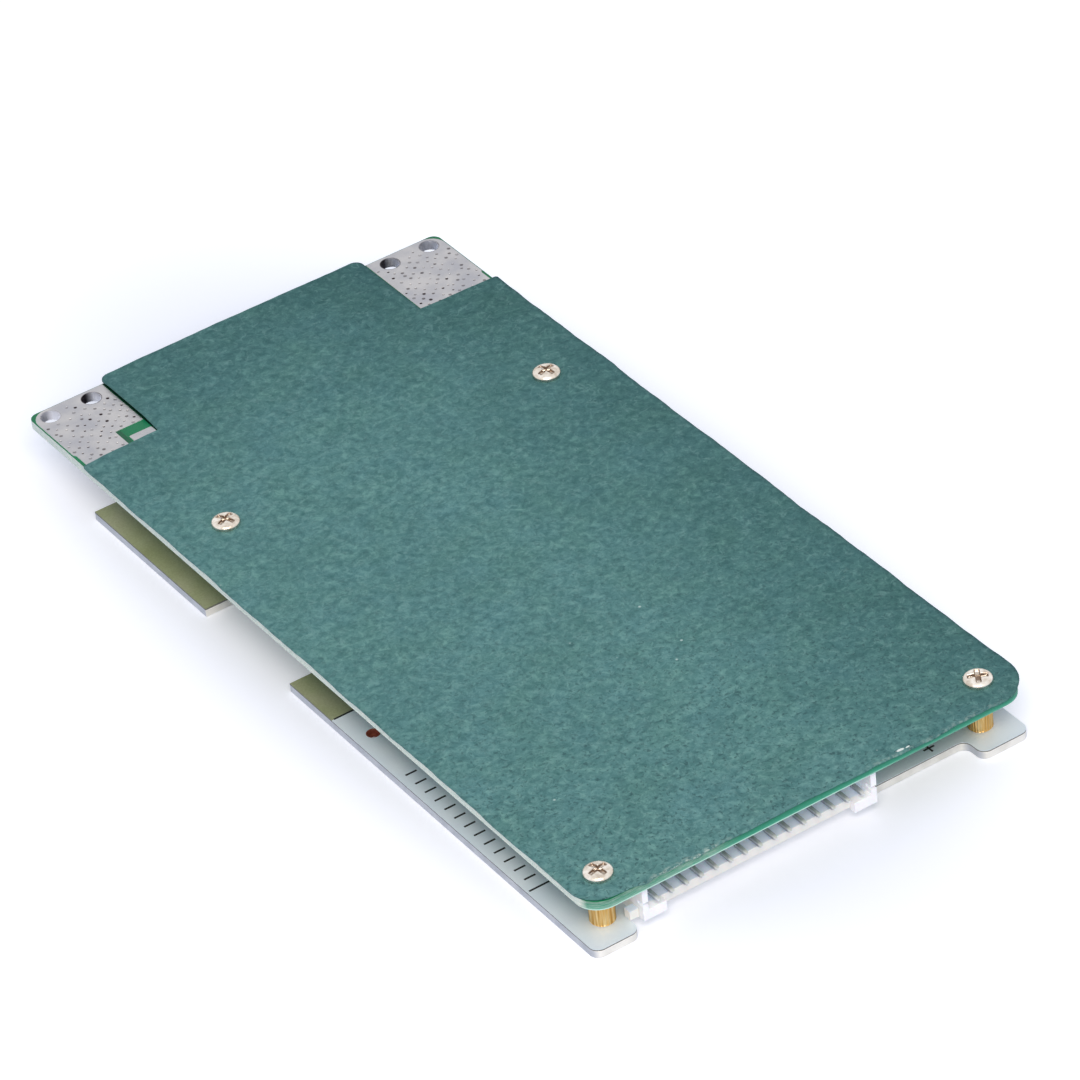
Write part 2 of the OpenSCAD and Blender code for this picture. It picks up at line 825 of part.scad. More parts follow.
module link_pins() {
    color([0.83, 0.7, 0.4])
        for (x = link_spots)
            block([x, link_y], [pin_side, pin_side, link_base_h + link_reach - link_end_gap], plate_t);
}

module link_socket() {
    cell = pin_side + 2 * link_pin_gap;
    color([0.16, 0.16, 0.17])
        difference() {
            block([0, link_y], [link_w, link_d, board_z - link_seat], link_seat);
            for (x = link_spots)
                block([x, link_y], [cell, cell, link_reach + eps], link_seat - eps);
        }
}

// Folded copper link, soldered to both boards by its flanges
module power_link(side) {
    x = side * power_link_x;
    color([0.75, 0.74, 0.75]) {
        block([x, power_link_y], [power_link_w, power_link_l, power_link_t], plate_t);
        block([x, power_link_y], [power_link_w, power_link_l, power_link_t], board_z - power_link_t);
        block([x, power_link_y - (power_link_l - power_link_t) / 2],
              [power_link_w, power_link_t, standoff_h], plate_t);
    }
}

module left_power_link() {
    power_link(-1);
}

module right_power_link() {
    power_link(1);
}

insulation_paper();
control_board();
left_terminal();
right_terminal();
sense_pad();
heat_spreader();
dielectric_layer();
plate_mask();
plate_legend();
standoffs();
board_screws();
header_housing();
header_pins();
monitor_chip();
controller_chip();
regulator();
balance_resistors();
balance_transistors();
filter_capacitors();
left_surge_diode();
right_surge_diode();
for (i = [1:shunt_count])
    shunt(i - 1);
for (i = [1:fet_columns * fet_rows])
    power_transistor((i - 1) % fet_columns, floor((i - 1) / fet_columns));
gate_resistors();
thermistor();
link_plug();
link_pins();
link_socket();
left_power_link();
right_power_link();
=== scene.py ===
# %% [markdown]
# # A battery management board
# The module is two circuit boards held 5 mm apart by brass standoffs. The upper one is covered with
# green insulation paper, the lower one is an aluminium plate that carries the power transistors.
# The CAD frame gives every place and size, and each cell below makes one piece or one finish on it.

# %% Load the frame
import math

import bmesh
import bpy
import numpy as np
from mathutils import Matrix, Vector
from mathutils.geometry import delaunay_2d_cdt


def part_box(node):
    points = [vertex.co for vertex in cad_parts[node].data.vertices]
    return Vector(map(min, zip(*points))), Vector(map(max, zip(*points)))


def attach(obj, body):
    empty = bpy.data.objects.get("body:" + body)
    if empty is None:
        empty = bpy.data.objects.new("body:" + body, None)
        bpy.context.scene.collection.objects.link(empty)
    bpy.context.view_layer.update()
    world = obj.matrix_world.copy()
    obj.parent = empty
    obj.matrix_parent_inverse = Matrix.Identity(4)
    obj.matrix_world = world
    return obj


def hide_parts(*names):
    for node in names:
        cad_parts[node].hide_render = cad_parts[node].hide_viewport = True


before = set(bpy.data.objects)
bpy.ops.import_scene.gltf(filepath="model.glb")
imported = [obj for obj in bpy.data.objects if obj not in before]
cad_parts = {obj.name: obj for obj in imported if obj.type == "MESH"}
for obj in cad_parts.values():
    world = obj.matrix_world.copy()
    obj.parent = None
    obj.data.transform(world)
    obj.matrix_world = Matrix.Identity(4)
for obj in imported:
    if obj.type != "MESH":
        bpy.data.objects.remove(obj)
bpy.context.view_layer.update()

scene = bpy.context.scene

# %% [markdown]
# ## Millimetres and the places of the CAD pieces
# A circuit board is drawn in millimetres, so shapes here are worked out in millimetres and made
# metres only when they become a mesh. Many nodes hold several equal solids, such as four screws.
# Their places are read from the node itself: triangles that share corners belong to one solid.

# %% Read boxes from the frame
MM = 0.001


def box_mm(node):
    """Lowest and highest corner of a CAD node, in millimetres."""
    low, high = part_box(node)
    return np.array(low) / MM, np.array(high) / MM


def solid_boxes(node):
    """Boxes of a node's separate solids, from front to back and then from left to right.

    Every corner starts with a label of its own. Each triangle gives its lowest label to its three
    corners, again and again, until nothing changes: then one label is one solid."""
    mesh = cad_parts[node].data
    points = np.empty(len(mesh.vertices) * 3)
    mesh.vertices.foreach_get("co", points)
    corners, index = np.unique(np.round(points.reshape(-1, 3) / MM, 4), axis=0, return_inverse=True)
    loops = np.empty(len(mesh.loops), dtype=int)
    mesh.loops.foreach_get("vertex_index", loops)
    triangles = index.ravel()[loops].reshape(-1, 3)
    label = np.arange(len(corners))
    while True:
        lowest = label.copy()
        np.minimum.at(lowest, triangles.ravel(), np.repeat(label[triangles].min(axis=1), 3))
        if np.array_equal(lowest, label):
            break
        label = lowest
    boxes = [(corners[label == k].min(axis=0), corners[label == k].max(axis=0)) for k in np.unique(label)]
    return sorted(boxes, key=lambda b: (round(b[0][1]), b[0][0]))


def middle(box):
    """Centre of a box."""
    return (box[0] + box[1]) / 2


board_low, board_high = box_mm("control_board")
plate_high = box_mm("plate_mask")[1]
screw_boxes = solid_boxes("board_screws")
screw_spots = np.array([middle(b)[:2] for b in screw_boxes])
print("control board", board_low, board_high)
print("screws at", np.round(screw_spots, 2).tolist())

# %% [markdown]
# ## Surfaces as arrays
# A shape here is a pair: its points as one array, and its faces as lists of point numbers. Three
# makers cover this object. A grid turns rows of points into quads. A prism carries a small profile
# round a closed outline, which gives moulded bodies their draft and sheared parts their soft edges.
# A lathe turns a closed loop of profile points round an upright axis, which gives spacers and
# sleeves. Whole arrays are computed at once.

# %% Makers of shapes
def grid_shape(points, wrap=False, caps=False):
    """Quads between neighbouring rows and columns of points. wrap joins the last column to the first,
    and caps closes the first and last rows with one face each."""
    rows, columns = points.shape[:2]
    index = np.arange(rows * columns).reshape(rows, columns)
    across = np.hstack([index, index[:, :1]]) if wrap else index
    quads = np.stack([across[:-1, :-1], across[:-1, 1:], across[1:, 1:], across[1:, :-1]], axis=-1)
    faces = quads.reshape(-1, 4).tolist()
    if caps:
        faces += [index[0, ::-1].tolist(), index[-1].tolist()]
    return points.reshape(-1, 3), faces


def inset_outline(outline, inset):
    """Moves each side of a closed anticlockwise outline inward by inset: a corner moves along the
    bisector of its two sides, by the inset over the cosine of half the turn."""
    side = np.roll(outline, -1, axis=0) - outline
    side /= np.linalg.norm(side, axis=1, keepdims=True)
    inward = np.stack([-side[:, 1], side[:, 0]], axis=1)
    before = np.roll(inward, 1, axis=0)
    turn = 1 + np.sum(inward * before, axis=1, keepdims=True)
    return outline + inset * (inward + before) / turn


def prism_shape(outline, profile):
    """Carries a profile round an outline. Each profile point (inset, height) gives one ring."""
    rings = [np.column_stack([inset_outline(outline, i), np.full(len(outline), z)]) for i, z in profile]
    return grid_shape(np.array(rings), wrap=True, caps=True)


def turned_shape(loop, centre, steps, flute=None):
    """Turns a closed loop of profile points (radius, height) round the upright axis at centre.
    flute(radius, height, angle) may change the radius with the angle."""
    angle = np.linspace(0, 2 * np.pi, steps, endpoint=False)
    radius, height = (np.array(loop)[:, k:k + 1] for k in (0, 1))
    r = flute(radius, height, angle) if flute else radius
    points = [centre[0] + r * np.cos(angle), centre[1] + r * np.sin(angle), height + 0 * angle]
    return grid_shape(np.stack(points, axis=-1), wrap=True)


def rounded_rectangle(low, high, radius, steps=4):
    """Anticlockwise rectangle whose corners are quarter circles."""
    turn = np.linspace(0, np.pi / 2, steps + 1)
    centres = [(high[0], high[1]), (low[0], high[1]), (low[0], low[1]), (high[0], low[1])]
    arcs = []
    for k, (x, y) in enumerate(centres):
        a = turn + k * np.pi / 2
        inner = np.array([x - radius * np.sign(x - (low[0] + high[0]) / 2),
                          y - radius * np.sign(y - (low[1] + high[1]) / 2)])
        arcs.append(inner + radius * np.stack([np.cos(a), np.sin(a)], axis=1))
    return np.vstack(arcs)


def placed(shape, origin, right=(1, 0, 0), up=(0, 0, 1)):
    """Moves a shape: its x runs along right, its z along up, and its origin goes to origin."""
    right, up = np.array(right, float), np.array(up, float)
    axes = np.array([right, np.cross(up, right), up])
    return shape[0] @ axes + np.array(origin), shape[1]


def joined(*parts):
    """Joins shapes into one. Each part is a shape with the number of its finish."""
    points, faces, marks, count = [], [], [], 0
    for shape, mark in parts:
        points.append(shape[0])
        faces += [[k + count for k in face] for face in shape[1]]
        marks += [mark] * len(shape[1])
        count += len(shape[0])
    return np.vstack(points), faces, marks


print("a rounded square has", len(rounded_rectangle((0, 0), (1, 1), 0.2)), "points")

# %% [markdown]
# ## From shape to piece
# A piece is a mesh object at the origin. Closed shells get their normals recalculated, so that they
# point outwards, and edges sharper than a given angle stay crisp while the rest is shaded smooth.
# Where a CAD solid already has the right form and holes, its own mesh is copied, merged and given a
# small bevel instead: real edges are never perfectly sharp, and the bevel catches the light.

# %% Make pieces and softened copies
def finish_piece(piece, nodes, smooth=35):
    """Shades a piece smooth up to an angle, hangs it on the root body, and hides the CAD nodes that it
    stands for.
    """
    piece.data.shade_smooth()
    piece.data.set_sharp_from_angle(angle=math.radians(smooth))
    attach(piece, "root")
    if nodes:
        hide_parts(*nodes)
    return piece


def make_piece(name, shape, finishes, nodes=(), smooth=35, closed=True, values=None):
    """Makes the mesh object of a shape, in metres, with one material for each finish number. values
    gives named numbers, one for each point, that a material may read."""
    mesh = bpy.data.meshes.new(name)
    mesh.from_pydata((shape[0] * MM).tolist(), [], shape[1])
    for finish in finishes:
        mesh.materials.append(finish)
    if len(shape) > 2:
        mesh.polygons.foreach_set("material_index", np.array(shape[2], dtype=np.int32))
    for key, numbers in (values or {}).items():
        mesh.attributes.new(key, "FLOAT", "POINT").data.foreach_set("value", numbers.astype(np.float32))
    if closed:
        shell = bmesh.new()
        shell.from_mesh(mesh)
        bmesh.ops.remove_doubles(shell, verts=shell.verts, dist=0.0005 * MM)
        bmesh.ops.recalc_face_normals(shell, faces=shell.faces)
        shell.to_mesh(mesh)
        shell.free()
    piece = bpy.data.objects.new(name, mesh)
    scene.collection.objects.link(piece)
    return finish_piece(piece, nodes, smooth)


def soften(name, node, width, finish, segments=2):
    """Copies a CAD node, merges its triangles into flat faces, and bevels its edges by width."""
    shell = bmesh.new()
    shell.from_mesh(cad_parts[node].data)
    bmesh.ops.remove_doubles(shell, verts=shell.verts, dist=0.001 * MM)
    bmesh.ops.dissolve_limit(shell, angle_limit=math.radians(0.5), verts=shell.verts, edges=shell.edges)
    mesh = bpy.data.meshes.new(name)
    shell.to_mesh(mesh)
    shell.free()
    for layer in [a.name for a in mesh.attributes if a.name == "custom_normal"]:
        mesh.attributes.remove(mesh.attributes[layer])
    mesh.materials.clear()
    mesh.materials.append(finish)
    piece = bpy.data.objects.new(name, mesh)
    scene.collection.objects.link(piece)
    bevel = piece.modifiers.new("soft_edges", "BEVEL")
    bevel.width = width * MM
    bevel.segments = segments
    bevel.limit_method = "ANGLE"
    bevel.angle_limit = math.radians(40)
    bevel.harden_normals = False
    return finish_piece(piece, [node])


# %% [markdown]
# ## Writing materials
# Colours are picked as sRGB hex values, as in a paint program, but a shader works with linear
# light, so one function turns the one into the other. One helper adds a node with its settings and
# links. Patterns read Object coordinates turned into millimetres, so that a scale of 2 on a texture
# means two features in each real millimetre. The plain finishes are one noise, which gives their
# colour, shine and height at once, so one function makes them all.

# %% Colours and nodes
def linear(colour):
    """Linear RGBA of an sRGB hex colour: below 0.04045 divide by 12.92, above it take the 2.4 curve."""
    value = np.array([int(colour[k:k + 2], 16) for k in (1, 3, 5)]) / 255
    light = np.where(value <= 0.04045, value / 12.92, ((value + 0.055) / 1.055) ** 2.4)
    return (*light.tolist(), 1.0)


def add_node(tree, kind, inputs=None, to=None, stops=None, span=None, **settings):
    """Adds a node. A Mix mixes colours. settings are the node's own options, stops a colour ramp's
    (position, hex colour) pairs, and span a range's ends: the two that it reads from, and the two that
    it maps them to, which are 0 and 1 if left out. inputs maps a socket's name or number to a value, a
    hex colour, a socket, or a node, which gives its first output in use. The new node's own first
    output goes to the socket to."""
    node = tree.nodes.new("ShaderNode" + kind)
    if kind == "Mix":
        node.data_type = "RGBA"
    for key, value in settings.items():
        setattr(node, key, value)
    entries = [s for s in node.inputs if s.enabled]
    for key, value in (inputs or {}).items():
        entry = entries[key] if isinstance(key, int) else next(s for s in entries if s.name == key)
        if isinstance(value, bpy.types.Node):
            value = next(s for s in value.outputs if s.enabled)
        if isinstance(value, bpy.types.NodeSocket):
            tree.links.new(value, entry)
        else:
            entry.default_value = linear(value) if isinstance(value, str) else value
    for entry, value in zip(entries[1:], span or ()):
        entry.default_value = value
    if stops:
        ramp = node.color_ramp
        while len(ramp.elements) < len(stops):
            ramp.elements.new(0.5)
        for element, (position, colour) in zip(ramp.elements, stops):
            element.position = position
            element.color = linear(colour)
    if to:
        tree.links.new(next(s for s in node.outputs if s.enabled), to)
    return node


def new_finish(name, **surface):
    """A new material with a Principled surface. Gives the material, a function that adds a node to it,
    and Object coordinates in millimetres. The function's to may name a socket of the surface."""
    material = bpy.data.materials.new(name)
    material.use_nodes = True
    tree = material.node_tree
    shader = tree.nodes["Principled BSDF"]
    for key, value in surface.items():
        entry = shader.inputs[key.replace("_", " ")]
        entry.default_value = linear(value) if isinstance(value, str) else value

    def add(kind, inputs=None, to=None, **rest):
        return add_node(tree, kind, inputs, shader.inputs[to] if to else None, **rest)

    place = add("TexCoord").outputs["Object"]
    mm = add("VectorMath", {"Vector": place, "Scale": 1 / MM}, operation="SCALE")
    return material, add, mm


def grained_finish(name, scale, detail, stops, rough=None, bump=None, drawn=None, **surface):
    """A finish of one noise, with scale features in a millimetre. stops are its colours, rough the two
    ends of its roughness, and bump its height in millimetres. drawn scales the noise along each
    axis, so that it becomes the lines of a drawn bar."""
    material, add, mm = new_finish(name, **surface)
    if drawn:
        mm = add("VectorMath", {0: mm, 1: drawn}, operation="MULTIPLY")
    grain = add("TexNoise", {"Vector": mm, "Scale": scale, "Detail": detail})
    add("ValToRGB", {"Fac": grain}, stops=stops, to="Base Color")
    if rough:
        add("MapRange", {"Value": grain}, span=(0, 1, rough[0], rough[1]), to="Roughness")
    if bump:
        add("Bump", {"Height": grain, "Distance": bump * MM}, to="Normal")
    return material


print("the paper's middle green in linear light:", np.round(linear("#567f80"), 3))

# %% [markdown]
# ## Fish paper
# Insulation paper of this kind is vulcanised cotton fibre, dyed green and rolled hard. It has no
# shine, and its surface is a felt of short curved fibres, some lighter and some darker than the
# ground. A thin band around the middle level of a noise is a curved line, so such bands, broken up
# by a second noise, give the fibres. Slower noises give the clouds between them, and a painted
# shade, the lamp's falloff painted in, darkens the sheet towards the right and the far end. Dark
# specks and a few pale flecks lie on top. Where the free edge is rubbed, loose pale fibres show,
# and two small chips have torn off at the front.

# %% Finish of the insulation paper
# Torn chips at the front edge: middle and half widths along X and Y, in millimetres.
TORN = [(12.0, -60.45, 0.55, 0.20), (12.9, -60.55, 0.35, 0.12)]
# Fibres: features in a millimetre, width of the band of levels, colour, and a shift of the noise.
FIBRES = [(0.55, 0.060, "#7ba5a2", 3.0), (0.80, 0.055, "#80aaa6", 11.0),
          (0.60, 0.085, "#3f6769", 23.0), (0.95, 0.080, "#3b6265", 37.0)]


def fish_paper():
    """Dyed felt of cotton fibres, with clouds, a painted shade, fibres, specks, flecks, rubbed edges and
    torn chips.
    """
    material, add, mm = new_finish("fish_paper", Roughness=0.85, Specular_IOR_Level=0.25)
    place = add("SeparateXYZ", {0: mm})
    clouds = add("TexNoise", {"Vector": mm, "Scale": 0.10, "Detail": 2.0})
    mottle = add("TexNoise", {"Vector": mm, "Scale": 0.9, "Detail": 5.0, "Roughness": 0.72,
                              "Distortion": 0.6})
    ground = add("ValToRGB", {"Fac": mottle},
                 stops=[(0.30, "#3f6d6d"), (0.45, "#507e7e"), (0.55, "#5b8988"), (0.72, "#70a09b")])
    shade = add("MapRange", {"Value": clouds}, span=(0.3, 0.7, 1.03, 1.14))
    # Painted shade: the tone falls towards the right and the far end, standing in for the lamp's falloff,
    # and its red falls faster.
    for axis, start, end, least in [("X", 2.0, 31.0, 0.67), ("Y", 32.0, 62.0, 0.70)]:
        painted_falloff = add("MapRange", {"Value": place.outputs[axis]}, span=(start, end, 1.0, least))
        shade = add("Math", {0: shade, 1: painted_falloff}, operation="MULTIPLY")
    warm = add("Math", {0: shade, 1: 1.3}, operation="POWER")
    hue = add("TexNoise", {"Vector": mm, "Scale": 0.16, "Detail": 3.0})
    cold = add("MapRange", {"Value": hue}, span=(0.3, 0.7, 0.95, 1.03))
    cold = add("Math", {0: shade, 1: cold}, operation="MULTIPLY")
    tone_with_painted_falloff = add("CombineColor", {"Red": warm, "Green": shade, "Blue": cold})
    colour = add("Mix", {"Factor": 1.0, "A": ground, "B": tone_with_painted_falloff}, blend_type="MULTIPLY")
    for size, width, tint, seed in FIBRES:
        moved = add("VectorMath", {0: mm, 1: (seed, 1.7 * seed, 0.6 * seed)}, operation="ADD")
        level = add("TexNoise", {"Vector": moved, "Scale": size, "Detail": 3.0, "Distortion": 0.4})
        above = add("Math", {0: level, 1: 0.5}, operation="SUBTRACT")
        band = add("Math", {0: above}, operation="ABSOLUTE")
        line = add("MapRange", {"Value": band}, span=(width, 0.0), interpolation_type="SMOOTHSTEP")
        gaps = add("TexNoise", {"Vector": moved, "Scale": 0.8, "Detail": 1.0})
        some = add("MapRange", {"Value": gaps}, span=(0.50, 0.66, 0, 0.36))
        amount = add("Math", {0: line, 1: some}, operation="MULTIPLY")
        colour = add("Mix", {"Factor": amount, "A": colour, "B": tint})
    specks = add("TexNoise", {"Vector": mm, "Scale": 2.2, "Detail": 3.0, "Distortion": 0.5})
    specks = add("MapRange", {"Value": specks}, span=(0.56, 0.68))
    many = add("MapRange", {"Value": place.outputs["Y"]}, span=(-50.0, 0.0, 0.75, 0.25))
    specks = add("Math", {0: specks, 1: many}, operation="MULTIPLY")
    colour = add("Mix", {"Factor": specks, "A": colour, "B": "#325658"})
    cells = add("TexVoronoi", {"Vector": mm, "Scale": 0.4})
    chance = add("SeparateXYZ", {"Vector": cells.outputs["Color"]})
    rare = add("Math", {0: chance, 1: 0.96}, operation="GREATER_THAN")
    near = add("MapRange", {"Value": cells}, span=(0.09, 0.04))
    fleck = add("Math", {0: rare, 1: near}, operation="MULTIPLY")
    colour = add("Mix", {"Factor": fleck, "A": colour, "B": "#b4cdc9"})
    ragged = add("TexNoise", {"Vector": mm, "Scale": 1.6, "Detail": 4.0, "Roughness": 0.7})
    away = add("Attribute", attribute_name="edge").outputs["Fac"]
    rubbed = add("MapRange", {"Value": away}, span=(0.55, 0.0))
    loose = add("MapRange", {"Value": ragged}, span=(0.46, 0.62))
    worn = add("Math", {0: rubbed, 1: loose}, operation="MULTIPLY")
    along = add("MapRange", {"Value": place.outputs["X"]}, span=(-30.0, 30.0))
    stretches = add("ValToRGB", {"Fac": along},
                    stops=[(0.10, "#303030"), (0.15, "#ffffff"), (0.27, "#ffffff"), (0.33, "#303030"),
                           (0.60, "#202020"), (0.64, "#d0d0d0"), (0.90, "#d0d0d0"), (0.94, "#202020")])
    worn = add("Math", {0: worn, 1: stretches}, operation="MULTIPLY")
    colour = add("Mix", {"Factor": worn, "A": colour, "B": "#b3c9bf"})
    torn = 0.0
    for x, y, half_x, half_y in TORN:
        apart = add("VectorMath", {0: mm, 1: (x, y, 0)}, operation="SUBTRACT")
        apart = add("VectorMath", {0: apart, 1: (1 / half_x, 1 / half_y, 0)}, operation="MULTIPLY")
        apart = add("VectorMath", {0: apart}, operation="LENGTH")
        rough = add("Math", {0: ragged, 1: 2.5}, operation="MULTIPLY")
        rough = add("Math", {0: rough, 1: apart.outputs["Value"]}, operation="ADD")
        chip = add("MapRange", {"Value": rough}, span=(2.3, 2.1))
        torn = add("Math", {0: torn, 1: chip}, operation="MAXIMUM")
    add("Mix", {"Factor": torn, "A": colour, "B": "#e6f2ee"}, to="Base Color")
    add("Bump", {"Height": mottle, "Distance": 0.02 * MM}, to="Normal")
    return material


paper_finish = fish_paper()
print("finish:", paper_finish.name)

# %% [markdown]
# ## The paper sheet
# The sheet was cut by hand to cover the board between its two terminals, so it is one wide field
# with a tongue at the far end. Every row of the grid runs from the sheet's left end to its right
# end, and the rows crowd together where a corner is round. Beyond the terminals' cut-outs only the
# columns of the tongue go on. The edges waver by a few tenths of a millimetre, the front one has two
# nicks, the tongue's left side has come up a little, and the sheet swells round each screw head that
# presses on it. A number on each point, its distance from the free edges, goes to the finish.

# %% Make the paper sheet
paper_low, paper_high = box_mm("insulation_paper")
tongue_half = -box_mm("left_terminal")[1][0] - 0.2
cut_y = box_mm("left_terminal")[0][1] - 0.2
PAPER_T = paper_high[2] - board_high[2]
LEFT_R, RIGHT_R, CUT_R, FAR_R = 3.8, 4.6, 0.4, 1.3
CELL = 0.55
# Nicks of the front edge: place along X, half width and depth, in millimetres.
NICKS = [(-22.7, 0.9, 0.45), (-16.0, 0.7, 0.25)]
# Heights in millimetres: the ring round a screw head, the tongue's lifted side, and the waves.
SWELL, LIFT, WAVES = 0.07, 0.42, 0.03


def waver(t, seed, size):
    """Sum of four waves of falling length, the way scissors leave an edge. size is in millimetres."""
    waves = [(27.0, 1.0), (11.3, 0.7), (5.1, 0.4), (2.3, 0.25)]
    return size * sum(a * np.sin(2 * np.pi * t / w + seed * (k + 1.7)) for k, (w, a) in enumerate(waves))


def rows_between(start, end, start_r, end_r):
    """Row heights from start to end: evenly turned round the corners, evenly spaced between them."""
    turn = np.linspace(0, np.pi / 2, 11)
    count = int((end - start - start_r - end_r) / CELL)
    return np.concatenate([start + start_r * (1 - np.cos(turn)),
                           np.linspace(start + start_r, end - end_r, count + 2)[1:-1],
                           end - end_r * (1 - np.cos(turn[::-1]))])


def round_ends(y, start, end, start_r, end_r):
    """How far a row stops short of the side: r - sqrt(r^2 - d^2) within r of a rounded end."""
    near = np.clip(start + start_r - y, 0, start_r)
    far = np.clip(y - end + end_r, 0, end_r)
    return (start_r - np.sqrt(start_r ** 2 - near ** 2)) + (end_r - np.sqrt(end_r ** 2 - far ** 2))


def paper_points():
    """Grid of the sheet's upper face, and which of its points exist. Each row has three stretches:
    the left wing, the middle, which is as wide as the tongue, and the right wing."""
    field_y = rows_between(paper_low[1], cut_y, RIGHT_R, CUT_R)
    tongue_y = rows_between(cut_y, paper_high[1], 0, FAR_R)[11:]
    left_in, right_in = (round_ends(field_y, paper_low[1], cut_y, r, CUT_R) for r in (LEFT_R, RIGHT_R))
    tongue_in = round_ends(tongue_y, cut_y, paper_high[1], 1e-9, FAR_R)
    inner = np.append(np.full(len(field_y), tongue_half), tongue_half - tongue_in)[:, None]
    left = np.append(paper_low[0] + left_in, tongue_in - tongue_half)[:, None]
    right = np.append(paper_high[0] - right_in, tongue_half - tongue_in)[:, None]
    wing = np.linspace(0, 1, int((-tongue_half - paper_low[0]) / CELL) + 1)[:-1]
    share = np.linspace(0, 1, int(2 * tongue_half / CELL) + 1)
    x = np.hstack([left + (-inner - left) * wing, -inner + 2 * inner * share,
                   right + (inner - right) * wing[::-1]])
    y = np.repeat(np.append(field_y, tongue_y)[:, None], x.shape[1], axis=1)
    real = np.ones(x.shape, bool)
    real[len(field_y):, :len(wing)] = False
    real[len(field_y):, -len(wing):] = False
    return x, y, real


def paper_shape():
    """Bends the flat grid. Each change is a height or a shift times a bell or a fade, exp(-d/w), of the
    distance d from the edge, corner or screw that it belongs to. Points under a screw head are drawn
    in towards its shank. Gives the shape, and each point's distance from the free edges."""
    x, y, real = paper_points()
    nicks = sum(depth * np.exp(-((x - at) / half) ** 2) for at, half, depth in NICKS)
    front_edge = 0.27 - 0.011 * (x + 20) + waver(x, 1.0, 0.08) - nicks
    cut_edge = np.interp(x, [-30, -tongue_half, tongue_half, 30], [-0.4, 0.1, 0.35, 0.0])
    wings = y < cut_y + 0.01
    move_y = np.exp(-(y - paper_low[1]) / 3) * front_edge
    move_y += np.exp(-np.abs(y - cut_y) / 2.5) * (cut_edge + waver(x, 4.0, 0.04))
    far_edge = waver(x, 8.0, 0.03) - 0.35 * np.exp(-((x + tongue_half) / 4) ** 2)
    move_y += np.exp(-(paper_high[1] - y) / 3) * far_edge
    move_x = np.exp(-(x - paper_low[0]) / 3) * wings * (waver(y, 1.5, 0.05) - 0.18)
    move_x += np.exp(-(paper_high[0] - x) / 3) * wings * (waver(y, 5.0, 0.05) + 0.12 - 0.0035 * y)
    away = np.minimum(np.minimum(x - paper_low[0], paper_high[0] - x), y - paper_low[1])
    away = np.maximum(away, 0.25 * (np.abs(x + 17.4) > 4.5))
    z = paper_high[2] + WAVES * waver(x + 0.6 * y, 6.0, 1.0) * waver(y - 0.3 * x, 2.4, 1.0)
    covered = np.zeros(x.shape, bool)
    for spot in screw_spots:
        apart = np.hypot(x - spot[0], y - spot[1])
        z += SWELL * np.exp(-((apart - 2.7) / 0.9) ** 2) - (z - paper_high[2]) * np.exp(-(apart / 1.9) ** 4)
        hidden = apart < 1.35
        pull = np.where(hidden, 1.05 / np.maximum(apart, 0.01), 1.0)
        x = spot[0] + (x - spot[0]) * pull
        y = spot[1] + (y - spot[1]) * pull
        covered |= hidden
    tongue = np.clip((y - cut_y - 0.5) / 3, 0, 1) * np.clip((paper_high[1] - y) / 3, 0.3, 1) * (x < 0)
    z += LIFT * np.exp(-np.clip(x + tongue_half, 0, None) / 2.2) * tongue
    points, faces = grid_shape(np.stack([x + move_x, y + move_y, z], axis=-1))
    faces = np.array(faces)
    faces = faces[real.ravel()[faces].all(axis=1) & ~covered.ravel()[faces].all(axis=1)]
    used, number = np.unique(faces, return_inverse=True)
    return (points[used], number.reshape(faces.shape).tolist()), away.ravel()[used]


sheet, from_edge = paper_shape()
paper = make_piece("paper_sheet", sheet, [paper_finish], ["insulation_paper"], closed=False,
                   values={"edge": from_edge})
wall = paper.modifiers.new("thickness", "SOLIDIFY")
wall.thickness = PAPER_T * MM
wall.offset = -1
print("paper sheet:", len(paper.data.polygons), "quads")

# %% [markdown]
# ## The control board
# The board is glass cloth in epoxy, pressed and then cut out with a router. Its two faces have a
# green solder mask, with a painted shadow under the paper's tongue and along its edges. The cut
# edges show the cloth itself, pale and a little ragged along the long sides, while the short front
# side is clear green, with painted shade at its top under the paper, painted light towards its
# bottom, dusty fibres at its left end and a painted highlight along its lower edge. So the colour
# follows the face's normal: the mask above and below, the cloth at the sides.

# %% Finish and piece of the control board
# The strip of mask beside the sense pad, in millimetres along X.
STRIP = (-23.6, -22.75)


